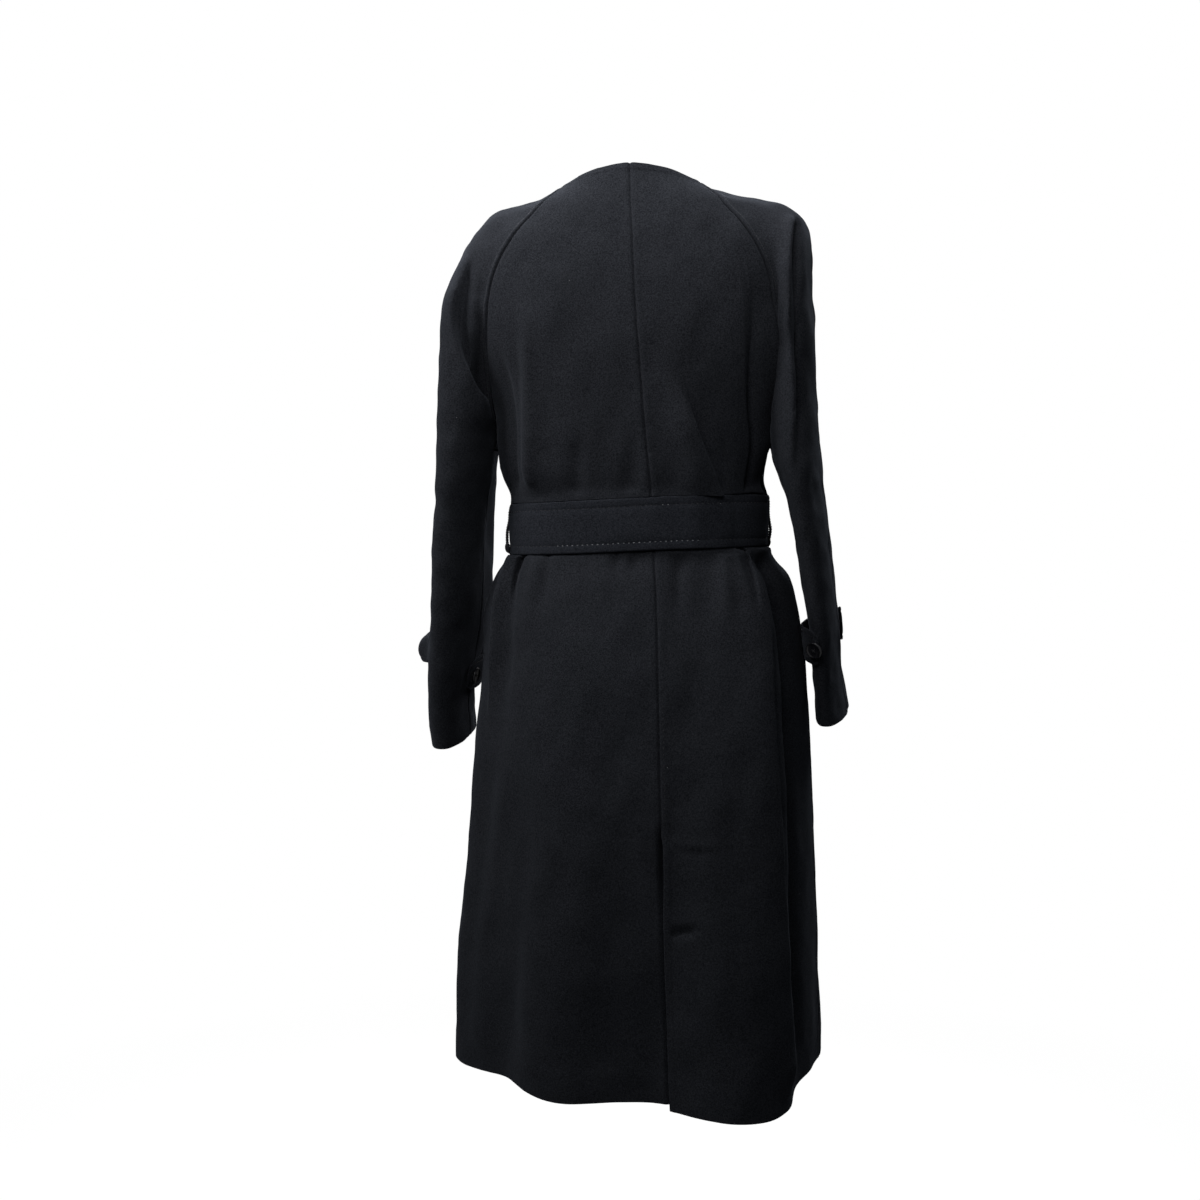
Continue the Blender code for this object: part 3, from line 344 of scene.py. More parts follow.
# Deep narrow folds that the belt presses in, straight towards the coat's middle plane: depth,
# half-width, fade at each end, and a route of turns and heights.
PRESSED_FOLDS = (
    (0.0140, 0.0028, 0.01, 0.92,
     ((-59.5, -0.418), (-60.5, -0.432), (-60, -0.452), (-59, -0.478), (-59, -0.498))),
    (0.0130, 0.0025, 0.01, 0.92, ((62.5, -0.418), (60, -0.440), (58.5, -0.460), (57.5, -0.500))),
    (0.0130, 0.0028, 0.01, 0.90, ((134, -0.418), (131, -0.440), (129, -0.470), (128, -0.520))),
    (0.0140, 0.0028, 0.01, 0.90, ((-129, -0.418), (-131, -0.445), (-133, -0.480), (-134, -0.530))),
)

# On each sleeve: the side it shows on, then as above, with routes of places across and heights. Seen
# from behind or in front, or all over the crown, a place is the distance from the coat's middle. Seen
# from outside or from the body, it is y.
SLEEVE_CREASES = {
    RIGHT: (
        ("back", 0.0088, (0.0110, 0.0120), 0.30, 0.06,
         ((0.190, -0.345), (0.191, -0.260), (0.188, -0.190), (0.184, -0.110), (0.186, -0.040)), SHARP_STEP),
        ("back", 0.0032, 0.0080, 0.25, 0.30,
         ((0.166, -0.085), (0.178, -0.112), (0.1815, -0.150), (0.180, -0.200))),
        ("back", 0.0035, 0.0100, 0.35, 0.35, ((0.203, -0.110), (0.207, -0.210), (0.208, -0.330))),
        ("back", -0.0022, 0.0120, 0.40, 0.40, ((0.197, -0.345), (0.206, -0.400), (0.212, -0.460))),
        ("back", -0.0020, 0.0090, 0.40, 0.40, ((0.222, -0.340), (0.214, -0.365), (0.203, -0.380))),
        ("front", -0.0050, 0.0120, 0.30, 0.25, ((0.178, -0.110), (0.180, -0.190), (0.184, -0.300))),
        ("front", -0.0030, 0.0090, 0.35, 0.35, ((0.222, -0.330), (0.210, -0.355), (0.197, -0.372))),
        ("outer", -0.0026, 0.0120, 0.40, 0.40, ((0.020, -0.330), (-0.006, -0.362), (-0.030, -0.376))),
        ("outer", -0.0020, 0.0110, 0.40, 0.40, ((0.030, -0.405), (0.004, -0.420), (-0.020, -0.420))),
    ),
    LEFT: (
        ("inner", -0.0110, 0.0520, 0.12, 0.45,
         ((-0.034, -0.278), (-0.041, -0.320), (-0.045, -0.400), (-0.045, -0.520))),
        ("crown", -0.0100, 0.0300, 0.30, 0.45,
         ((0.160, -0.014), (0.190, -0.034), (0.212, -0.065), (0.224, -0.130))),
        ("back", 0.0014, 0.0030, 0.30, 0.40,
         ((0.200, -0.030), (0.2085, -0.075), (0.2124, -0.1194), (0.2154, -0.1665), (0.2160, -0.220))),
        ("back", 0.0092, (0.0150, 0.0140), 0.30, 0.10,
         ((0.184, -0.070), (0.198, -0.145), (0.193, -0.190), (0.182, -0.220), (0.163, -0.285)), SHARP_STEP),
        ("back", 0.0028, 0.0090, 0.35, 0.35, ((0.212, -0.110), (0.216, -0.190), (0.206, -0.260))),
        ("back", 0.0026, 0.0080, 0.30, 0.30, ((0.176, -0.120), (0.178, -0.160), (0.172, -0.200))),
        ("back", -0.0022, 0.0120, 0.40, 0.40, ((0.196, -0.330), (0.205, -0.390), (0.216, -0.450))),
        ("back", -0.0020, 0.0090, 0.40, 0.40, ((0.232, -0.350), (0.222, -0.374), (0.206, -0.388))),
        ("front", -0.0050, 0.0120, 0.30, 0.25, ((0.186, -0.110), (0.190, -0.200), (0.190, -0.310))),
        ("front", -0.0030, 0.0090, 0.35, 0.35, ((0.230, -0.340), (0.218, -0.366), (0.202, -0.380))),
        ("outer", -0.0026, 0.0120, 0.40, 0.40, ((0.024, -0.340), (-0.002, -0.370), (-0.028, -0.384))),
        ("outer", -0.0020, 0.0110, 0.40, 0.40, ((0.026, -0.420), (0.000, -0.436), (-0.024, -0.434))),
    ),
}

# Soft unevenness all over: height in metres, wavelength in metres, seed.
BODY_WAVES = ((0.00060, 0.110, 11), (0.00030, 0.048, 12), (0.00008, 0.018, 13))
SLEEVE_WAVES = ((0.00070, 0.085, 21), (0.00034, 0.038, 22), (0.00008, 0.016, 23))
BELT_WAVES = ((0.00022, 0.050, 31), (0.00010, 0.018, 32))
WAVES, WAVE_GAIN = 14, 5  # flat waves in each layer

# ---------------------------------------------------------------- curves and fields
def ease(t):
    """0 up to t = 0, 1 from t = 1, and a smooth rise between."""
    t = np.clip(t, 0.0, 1.0)
    return t * t * (3 - 2 * t)


def bump(distance, half_width):
    """A soft bump, 1 high at its middle."""
    return np.exp(-((distance / half_width) ** 2))


def rounded(distance, radius, least=0.01):
    """How full something is at a distance from its round edge, and never less than least."""
    inside = 1 - np.minimum(distance / radius, 1.0)
    return np.sqrt(np.maximum(1 - inside**2, least))


def unit(vectors):
    return vectors / np.maximum(np.linalg.norm(vectors, axis=-1, keepdims=True), 1e-12)


def apart(turn, other):
    return (np.asarray(turn) - other + 180.0) % 360.0 - 180.0


def at_turn(radius, turn, z):
    """The point at a turn and a height, a radius away from the coat's upright middle line."""
    angle = np.radians(turn)
    return np.stack([-radius * np.sin(angle), radius * np.cos(angle), z], axis=-1)


def hermite(t, start, end, leaving, arriving):
    return (
        (1 + 2 * t) * (1 - t) ** 2 * start
        + t * (1 - t) ** 2 * leaving
        + t * t * (3 - 2 * t) * end
        + t * t * (t - 1) * arriving
    )


def smooth_rows(table, at, column):
    """Values of a table's column at heights between its rows, as one smooth curve."""
    order = np.argsort(table[:, 0])
    x, y = table[order, 0], table[order, column]
    slope = np.gradient(y, x)
    at = np.clip(np.asarray(at, float), x[0], x[-1])
    i = np.clip(np.searchsorted(x, at) - 1, 0, len(x) - 2)
    step = x[i + 1] - x[i]
    return hermite((at - x[i]) / step, y[i], y[i + 1], step * slope[i], step * slope[i + 1])


def through(rows, at):
    """A smooth curve through rows of values, at places that count from 0 by row."""
    rows = np.asarray(rows, float)
    slope = np.gradient(rows, axis=0)
    at = np.clip(np.asarray(at, float), 0, len(rows) - 1)
    i = np.minimum(at.astype(int), len(rows) - 2)
    t = (at - i)[..., None]
    return hermite(t, rows[i], rows[i + 1], slope[i], slope[i + 1])


def through_all(rows, pieces):
    """The same curve from end to end, with this many pieces from each row to the next."""
    last = len(rows) - 1
    return through(rows, np.linspace(0, last, pieces * last + 1))


def columns_at(x, known_x, rows):
    """Each column of a table of points or normals, at x between its rows."""
    return np.stack([np.interp(x, known_x, rows[:, k]) for k in range(3)], axis=-1)


def lengths_along(points):
    """Distance along each row of points from its first one."""
    steps = np.linalg.norm(np.diff(points, axis=-2), axis=-1)
    return np.concatenate([np.zeros(steps.shape[:-1] + (1,)), np.cumsum(steps, axis=-1)], axis=-1)


def waves(points, layers):
    """Smooth seeded unevenness: for each layer, a sum of flat waves in all directions."""
    total = np.zeros(points.shape[:-1])
    for height, wavelength, seed in layers:
        random = np.random.default_rng(seed)
        ways = unit(random.normal(size=(WAVES, 3))) * random.uniform(0.7, 1.4, (WAVES, 1))
        phases = random.uniform(0, math.tau, WAVES)
        heights = np.sin(points @ ways.T * math.tau / wavelength + phases)
        total += height * WAVE_GAIN * np.mean(heights, axis=-1)
    return total


def leftwards(way, place):
    """A unit vector to the left of a way, on the body seen from outside, or on a flat view."""
    if len(way) == 2:
        return unit(np.array([-way[1], way[0]]))
    return unit(np.cross(unit(place * (1.0, 1.0, 0.0)), way))


def nearest_on(knots, points):
    """For each point: its distance to a route of knots, how far along the route its nearest place is,
    as a share, and how far to the route's left the point is."""
    lengths = lengths_along(knots)
    best, along, aside = np.full(len(points), np.inf), np.zeros(len(points)), np.zeros(len(points))
    for a, b, start, end in zip(knots[:-1], knots[1:], lengths[:-1], lengths[1:]):
        t = np.clip((points - a) @ (b - a) / ((b - a) @ (b - a)), 0, 1)
        away = points - a - t[:, None] * (b - a)
        distance = np.linalg.norm(away, axis=1)
        nearer = distance < best
        best = np.where(nearer, distance, best)
        along = np.where(nearer, start + (end - start) * t, along)
        aside = np.where(nearer, away @ leftwards(b - a, (a + b) / 2), aside)
    return best, along / lengths[-1], aside


def crease(points, route, rise, half_width, fade_in, fade_out, kind=None):
    """The rise of one crease at each point, from its distance to a route of points. half_width is one
    size, or one to the route's left and one to its right, seen from outside and along the route. A
    step is a ridge on the left and a trough on the right, and a sharp one turns over suddenly."""
    left, right = (half_width, half_width) if np.isscalar(half_width) else half_width
    knots = through_all(route, 10)
    flat = points.reshape(-1, points.shape[-1])
    reach = CREASE_REACH * max(left, right)
    near = np.all((flat > knots.min(0) - reach) & (flat < knots.max(0) + reach), axis=1)
    distance, along, aside = nearest_on(knots, flat[near])
    taper = ease(along / max(fade_in, 0.01)) * ease((1 - along) / max(fade_out, 0.01))
    wide = np.where(aside > 0, left, right)
    profile = bump(distance, wide)
    if kind == STEP:
        profile *= STEP_GAIN * aside / wide
    if kind == SHARP_STEP:
        profile *= np.tanh(aside / SHARP)
    total = np.zeros(len(flat))
    total[near] = rise * taper * profile
    return total.reshape(points.shape[:-1])


# ---------------------------------------------------------------- the body's surface
def section(name, z):
    return smooth_rows(SECTIONS, z, SECTION.index(name))


def fold_rise(turn, z, turn_top, z_top, turn_belt, rise, half_width):
    along = (z_top - z) / (z_top - FOLDS_END_Z)
    middle = turn_top + (turn_belt - turn_top) * np.clip(along, 0, 1)
    height = rise * ease(along * 1.6) * ease((1.06 - along) * 4)
    return height * bump(apart(turn, middle), half_width)


def flute_rise(turn, down, turn_belt, turn_hem, rise_belt, rise_hem, half_width):
    """down is 0 where the flutes start under the belt, and 1 at the hem."""
    middle = turn_belt + (turn_hem - turn_belt) * down**0.7
    height = rise_belt * ease(down * 12) + (rise_hem - rise_belt) * down**1.1
    return height * bump(apart(turn, middle), half_width)


def body_radius(turn, z):
    angle = np.radians(turn)
    across, along = np.abs(np.sin(angle)), np.abs(np.cos(angle))
    half = np.where(apart(turn, 0) > 0, section("right", z), section("left", z))
    deep = np.where(np.cos(angle) > 0, section("back", z), section("front", z))
    power = section("power", z)
    plain = ((across / half) ** power + (along / deep) ** power) ** (-1 / power)
    down = np.clip((FLUTES_START_Z - z) / (FLUTES_START_Z - HEM_Z), 0.0, 1.1)
    flutes = sum(flute_rise(turn, down, *flute) for flute in FLUTES)
    return plain + flutes + sum(fold_rise(turn, z, *fold) for fold in FOLDS)


def bare_point(turn, z):
    return at_turn(body_radius(turn, z), turn, z)


def body_normal(turn, z):
    round_it = bare_point(turn + 0.5, z) - bare_point(turn - 0.5, z)
    up = bare_point(turn, z + 0.002) - bare_point(turn, z - 0.002)
    return -unit(np.cross(up, round_it))


def body_point(turn, z, outwards=0.0):
    turn, z = np.broadcast_arrays(np.asarray(turn, float), np.asarray(z, float))
    return bare_point(turn, z) + np.asarray(outwards)[..., None] * body_normal(turn, z)


def hem_drop(turn, z, side):
    near = ease((HEM_DROP_START_Z - z) / (HEM_DROP_START_Z - HEM_Z))
    return near * sum(drop * bump(apart(turn, at), half_width) for at, drop, half_width in HEM_DROPS[side])


def side_turn(side, z):
    """The turn of the side seam. From the underarm down it moves round with the twist."""
    twist = section("twist", z) - section("twist", UNDERARM_Z)
    return side * 90.0 + np.where(z < UNDERARM_Z, twist, 0.0)


# ---------------------------------------------------------------- meshes
def mesh_piece(name, vertices, faces, material, slot):
    """A piece of the coat that rides on its one body and takes its finish from its material; the slot is not
    used.
    """
    data = bpy.data.meshes.new(name)
    data.from_pydata(np.asarray(vertices).tolist(), [], [list(map(int, face)) for face in faces])
    data.materials.append(material)
    data.shade_smooth()
    data.set_sharp_from_angle(angle=math.radians(CORNER_ANGLE))
    piece = bpy.data.objects.new(name, data)
    bpy.context.scene.collection.objects.link(piece)
    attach(piece, "root")
    return piece


def wall(outer, inner, cells=None):
    """Vertices and faces of a closed wall between two matching grids. cells says which are cloth."""
    rows, columns = outer.shape[:2]
    cells = np.ones((rows - 1, columns - 1), bool) if cells is None else cells
    count = rows * columns
    ids = np.arange(count).reshape(rows, columns)
    corners = (ids[:-1, :-1], ids[:-1, 1:], ids[1:, 1:], ids[1:, :-1])
    edge = np.pad(cells, 1)
    beyond = (edge[:-2, 1:-1], edge[1:-1, 2:], edge[2:, 1:-1], edge[1:-1, :-2])
    faces = [np.stack([corner[cells] for corner in corners], 1)]
    faces.append(np.stack([corner[cells] + count for corner in corners[::-1]], 1))
    for k in range(4):
        open_here = cells & ~beyond[k]
        a, b = corners[k][open_here], corners[(k + 1) % 4][open_here]
        faces.append(np.stack([b, a, a + count, b + count], 1))
    vertices = np.concatenate([outer.reshape(-1, 3), inner.reshape(-1, 3)])
    used, faces = np.unique(np.concatenate(faces), return_inverse=True)
    vertices, faces = vertices[used], faces.reshape(-1, 4)
    a, b, c, d = (vertices[faces[:, k]] for k in range(4))
    volume = np.sum(a * np.cross(b, c)) + np.sum(a * np.cross(c, d))
    return vertices, faces if volume > 0 else faces[:, ::-1]


def ring_wall(outer, inner):
    """Vertices and faces of a closed wall between two grids whose last row comes back to their first."""
    rows, columns = outer.shape[:2]
    rows -= 1
    count = rows * columns
    faces = []
    for row in range(rows):
        here, after = row * columns, (row + 1) % rows * columns
        for k in range(columns - 1):
            a, b, c, d = here + k, here + k + 1, after + k + 1, after + k
            faces += [(a, d, c, b), (a + count, b + count, c + count, d + count)]
        faces.append((here, here + count, after + count, after))
        a, b = here + columns - 1, after + columns - 1
        faces.append((a, b, b + count, a + count))
    return np.concatenate([outer[:-1].reshape(-1, 3), inner[:-1].reshape(-1, 3)]), faces


def ring_faces(rings, sides, first=0):
    """Faces round a stack of rings of points, closed at both ends."""
    faces = []
    for ring in range(rings - 1):
        for k in range(sides):
            a, b = first + ring * sides + k, first + ring * sides + (k + 1) % sides
            faces.append((a, b, b + sides, a + sides))
    last = first + (rings - 1) * sides
    faces.append(tuple(range(first, first + sides))[::-1])
    faces.append(tuple(range(last, last + sides)))
    return faces


def grid_normals(points, like):
    """Normals of a grid of points, on the side that the rough normals "like" show."""
    normals = unit(np.cross(np.gradient(points, axis=0), np.gradient(points, axis=1)))
    return normals * np.sign(np.mean(np.sum(normals * like, axis=-1)))


def placed(points_at, cells, dense_at=0.5, denser=0.0):
    """Fractions across each row that start and end with EDGE_STEPS, and each place's distance in
    metres from the row's first and last points. The cells are closer together round dense_at."""
    coarse = np.linspace(0, 1, 81)
    lengths = lengths_along(points_at(coarse))
    total = lengths[:, -1:]
    t = np.linspace(0, 1, 401)
    density = np.cumsum(1 + denser * bump(t - dense_at, DENSE_HALF_WIDTH))
    density = lengths_along(np.stack([t, density], axis=-1))
    spread = np.interp(np.linspace(0, 1, cells + 1)[1:-1], density / density[-1], t)
    inside = EDGE_STEPS[-1] + (total - 2 * EDGE_STEPS[-1]) * spread
    first = np.repeat(EDGE_STEPS[None], len(total), axis=0)
    place = np.hstack([first, inside, total - first[:, ::-1]])
    fractions = np.array([np.interp(p, row, coarse) for p, row in zip(place, lengths)])
    return fractions, place, total - place


def sewn_edge(distance):
    """The outer face turns in at a seam, over the seam's allowance, which lifts it a little."""
    allowance = ease((distance - 0.0008) / 0.002) * ease((SEAM_ALLOWANCE - distance) / 0.004)
    return SEAM_RISE * allowance - SEAM_GROOVE * bump(distance, GROOVE_HALF_WIDTH)


def doubled(distance, edge):
    """The rise of cloth that is turned in along an edge."""
    width, softness, rise = edge
    return rise * ease((width - distance) / softness)


def round_edge(distance):
    """How much of its thickness the cloth has near a rounded free edge."""
    return rounded(distance, CLOTH / 2)


def cloth_wall(base, like, lift, full):
    """Outer and inner faces of a wall whose outer face is on base. lift moves the outer face, and
    full is the share of its thickness that each place has."""
    normals = grid_normals(base, like)
    middle = base - CLOTH / 2 * normals
    outer = middle + (CLOTH / 2 * full + lift)[..., None] * normals
    return outer, middle - (CLOTH / 2 * full)[..., None] * normals


def overlap(outer, inner, edge, within):
    """Runs a wall's sewn edge, which is one column of its grids, a little into its neighbour."""
    way = unit(outer[:, within] - outer[:, edge]) * SEAM_OVERLAP
    outer[:, edge] -= way
    inner[:, edge] -= way


# ---------------------------------------------------------------- body panels
def even_steps(start, end, step):
    """Places from start to end, without start."""
    return np.linspace(start, end, max(int(round(abs(end - start) / step)), 1) + 1)[1:]


BELT_LOW, BELT_HIGH = BELT_Z - BELT_WIDTH / 2, BELT_Z + BELT_WIDTH / 2
BESIDE_BELT = np.array([0.0003, 0.0006, 0.0009, 0.0014, 0.0022, 0.0034, 0.0050, 0.0070, 0.0100])
UNDER_BELT, UNDER_BELT_CELL = 0.0020, 0.008
# Heights of a panel's rows up to the underarm, and then their places by raglan row up to the neck.
LOWER_Z = np.concatenate([
    HEM_Z + EDGE_STEPS,
    even_steps(HEM_Z + EDGE_STEPS[-1], VENT_TOP_Z, CELL),
    even_steps(VENT_TOP_Z, BELT_LOW - BESIDE_BELT[-1], CELL)[:-1],
    BELT_LOW - BESIDE_BELT[::-1],
    BELT_LOW + np.array([0.0, UNDER_BELT]),
    even_steps(BELT_LOW + UNDER_BELT, BELT_HIGH - UNDER_BELT, UNDER_BELT_CELL),
    [BELT_HIGH],
    BELT_HIGH + BESIDE_BELT,
    even_steps(BELT_HIGH + BESIDE_BELT[-1], UNDERARM_Z, CELL),
])
NECK_STEPS = EDGE_STEPS / RAGLAN_ROW_STEP
UPPER_PLACES = np.concatenate([
    even_steps(0, NECK_ROW - NECK_STEPS[-1], CELL / RAGLAN_ROW_STEP),
    NECK_ROW - NECK_STEPS[-2::-1],
])
UPPER = through(RAGLAN_ROWS, UPPER_PLACES)


def low_rows(turns):
    """Heights of the rows below the underarm. Near the belt they run along it."""
    beside = ease((0.100 - np.abs(LOWER_Z - BELT_Z)) / 0.050)[:, None]
    return LOWER_Z[:, None] + (belt_level(turns[: len(LOWER_Z)]) - BELT_Z) * beside


def back_turns(side):
    """For each row of a back panel: its first and last turn, and a way to find heights."""
    start = np.concatenate([section("twist", LOWER_Z), section("twist", UPPER[:, 2])])
    end = np.concatenate([side_turn(side, LOWER_Z), side * UPPER[:, 0]])

    def heights(turns):
        back_turn, back_z, centre_z = (UPPER[:, k, None] for k in (0, 1, 2))
        rise = np.abs(turns[len(LOWER_Z) :] / back_turn) ** NECK_CURVE
        return np.vstack([low_rows(turns), centre_z + (back_z - centre_z) * rise])

    return start, end, heights


def front_turns(side):
    """The same for a front panel, which runs from the side seam past the centre front."""
    start = np.concatenate([side_turn(side, LOWER_Z), side * UPPER[:, 3]])
    end = np.full(len(start), side * (180.0 + FRONT_OVERLAP))

    def heights(turns):
        front_turn, front_z, centre_z = (UPPER[:, k, None] for k in (3, 4, 5))
        rise = np.abs((180.0 - np.abs(turns[len(LOWER_Z) :])) / (180.0 - front_turn)) ** FRONT_NECK_CURVE
        return np.vstack([low_rows(turns), centre_z + (front_z - centre_z) * rise])

    return start, end, heights


def from_belt(turn, z):
    """Distance of a place from the belt's edges, negative under it."""
    return np.abs(z - belt_level(turn)) - BELT_WIDTH / 2


def belt_pull(turn):
    """How far the belt draws itself and the cloth under it in, most at the coat's two sides."""
    return BELT_SINK + BELT_PULL * np.abs(np.sin(np.radians(turn))) ** 4


def belted(turn, z, rise):
    """The rise of the cloth once the belt bites into it. Above the belt the cloth rolls against its
    edge, nearly as far as its face, as it does at both sides below it. Elsewhere below the belt the
    cloth swells out more freely."""
    away = from_belt(turn, z)
    above = z > belt_level(turn)
    sides = np.abs(np.sin(np.radians(turn))) ** 2
    face = belt_radius(turn) - belt_pull(turn) + BELT_THICKNESS
    roll = np.maximum(face - ROLL_BEHIND_FACE - body_radius(turn, z), 0.0)
    free = BELT_SWELL * (0.40 + 0.60 * sides) * ease(away / 0.004)
    swell = np.where(above, roll, np.maximum(free, roll * sides**2)) * bump(away, SWELL_REACH)
    high = np.maximum(rise, 0.0)
    highest = (high + swell + np.sqrt((high - swell) ** 2 + MERGING)) / 2
    upper = np.where(rise > 0, highest, rise + swell)
    lower = swell + np.minimum(rise, high * ease(away / 0.006))
    out = ease((away + 0.0008) / 0.0016)
    return out * np.where(above, upper, lower) - (1 - out) * (belt_pull(turn) + BELT_GAP)


def body_details(turns, z):
    """How far the creases, the belt and the soft unevenness move the cloth."""
    points = body_point(turns, z)
    rise = waves(points, BODY_WAVES)
    for k in EVENED_FOLDS:
        rise -= EVENED_SHARE * fold_rise(turns, z, *FOLDS[k])
    for height, half_width, fade_in, fade_out, route, *kind in BODY_CREASES:
        turn, level = np.array(route, float).T
        rise += crease(points, body_point(turn, level), height, half_width, fade_in, fade_out, *kind)
    return belted(turns, z, rise)


def pressed_in(turns, z):
    """How far the deep folds move the cloth, as vectors."""
    points = body_point(turns, z)
    moved = np.zeros(points.shape)
    for depth, half_width, fade_in, fade_out, route in PRESSED_FOLDS:
        turn, level = np.array(route, float).T
        knots = body_point(turn, level)
        behind = points[..., 1] * knots[0, 1] > 0
        rise = crease(points[..., ::2], knots[:, ::2], depth, half_width, fade_in, fade_out)
        moved[..., 1] -= rise * behind * np.sign(knots[0, 1]) * ease(from_belt(turns, z) / 0.0012)
    return moved


def edge_forms(z, from_first, from_last, first_edge, last_edge):
    """Lift and share of thickness that a panel's two long edges give each place. An edge is "sewn" or
    "free". Both edges at the vent are sewn above its top. Below it "vent" is free, and "underlap" runs
    on past the seam's line."""
    lift, full = np.zeros(z.shape), np.ones(z.shape)
    open_vent = ease((VENT_TOP_Z + 0.002 - z) / 0.004)
    for kind, distance in ((first_edge, from_first), (last_edge, from_last)):
        if kind == "underlap":
            lift += sewn_edge(np.abs(distance)) * (1 - open_vent)
            full *= round_edge(distance + VENT_UNDERLAP)
            continue
        free = {"sewn": 0.0, "free": 1.0, "vent": open_vent}[kind]
        lift += sewn_edge(distance) * (1 - free) + doubled(distance, FREE_EDGE) * free
        full *= round_edge(distance) * free + (1 - free)
    return lift, full


def hem_and_neck(base, lift, full):
    """Adds the turned-up hem and the turned-in neck to a panel's lift and thickness."""
    rows = np.concatenate([LOWER_Z - HEM_Z, np.full(len(UPPER_PLACES), 1.0)])
    from_hem = np.repeat(rows[:, None], base.shape[1], axis=1)
    from_neck = lengths_along(base.swapaxes(0, 1)[:, ::-1])[:, ::-1].T
    for distance, edge in ((from_hem, HEM_EDGE), (from_neck, NECK_EDGE)):
        full = full * round_edge(distance)
        lift = lift + doubled(distance, edge)
    return lift, full


def with_underlap(turns, from_first, from_last, radius, way):
    """Adds the underlap's columns before a panel's first edge."""
    beyond = UNDERLAP[None]
    turns = np.hstack([turns[:, :1] - np.degrees(beyond / radius) * way, turns])
    from_first = np.hstack([np.repeat(-beyond, len(turns), axis=0), from_first])
    return turns, from_first, np.hstack([from_last[:, :1] + beyond, from_last])


def panel(node, side, turning, sunk_at, first_edge, last_edge, material):
    """One body panel: its piece, its outer face and that face's normals."""
    start, end, heights = turning(side)
    across = (end - start)[:, None]

    def base_at(turns):
        z = heights(turns)
        z = z - hem_drop(turns, z, side)
        return z, body_point(turns, z)

    def points_at(fractions):
        return base_at(start[:, None] + across * fractions)[1]

    is_back = turning is back_turns
    cells = int((BACK_WIDTH if is_back else FRONT_WIDTH) / CELL)
    fractions, from_first, from_last = placed(points_at, cells, DENSE_AT[side], DENSER if is_back else 0.0)
    turns = start[:, None] + across * fractions
    if first_edge == "underlap":
        radius = body_radius(turns[:, :1], heights(turns)[:, :1])
        turns, from_first, from_last = with_underlap(turns, from_first, from_last, radius, np.sign(across))
    if first_edge == "vent":
        shift = VENT_EDGE_SHIFT * slit_open(heights(turns)) * ease(1 - from_first / 0.030)
        turns = turns + np.degrees(shift / body_radius(turns, heights(turns))) * side
    z, points = base_at(turns)
    rough = body_normal(turns, z)
    rise = body_details(turns, z) - sunk_at(turns, z, from_first)
    base = points + rise[..., None] * rough + pressed_in(turns, z)
    lift, full = hem_and_neck(base, *edge_forms(z, from_first, from_last, first_edge, last_edge))
    outer, inner = cloth_wall(base, rough, lift, full)
    if first_edge != "underlap":
        overlap(outer, inner, 0, 1)
    if last_edge == "sewn":
        overlap(outer, inner, -1, -2)
    cells = underlap_cells(z, from_first) if first_edge == "underlap" else None
    piece = mesh_piece(f"{node}_cloth", *wall(outer, inner, cells), material, "black_wool")
    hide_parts(node)
    return piece, outer, unit(outer - inner)


def plain_sink(turns, z, from_first):
    """How far a panel dips at each place: here nowhere."""
    return np.zeros(turns.shape)


def slit_open(z):
    """How far the vent gapes at its top, from 0 to 1."""
    down = (VENT_TOP_Z - z) / 0.090
    return ease(down * 4) * ease((1.15 - down) * 1.5) * (z < VENT_TOP_Z)


def underlap_sink(turns, z, from_first):
    """The left back dips under the right back at the vent, and is hollow where the vent gapes."""
    under = CLOTH + LAYER_GAP + 0.0012
    sunk = under * ease((0.0060 - from_first) / 0.0085) * (z <= VENT_TOP_Z + 0.0005)
    hollow = VENT_HOLLOW * slit_open(z) * bump(from_first + 0.0010, 0.0040)
    return (sunk + hollow) * ease((VENT_TOP_Z + 0.006 - z) / 0.010)


def underlap_cells(z, from_first):
    """Which cells are cloth: the underlap is only below the vent's top."""
    above = (z[:-1, :-1] + z[1:, :-1]) / 2 > VENT_TOP_Z
    return ~(above & (from_first[:-1, 1:] < 1e-6))


def vent_lift(turns, z, from_first):
    """The right back's edge stands off a little where the vent gapes."""
    return -VENT_EDGE_LIFT * slit_open(z) * bump(from_first, 0.014)


def fronts_sink(turns, z, from_first):
    """The left front dips under the right front's edge, and runs on beneath it."""
    edge = 180.0 - FRONT_OVERLAP
    return (CLOTH + FRONTS_GAP) * ease((np.abs(turns) - edge + 14.0) / 12.0)


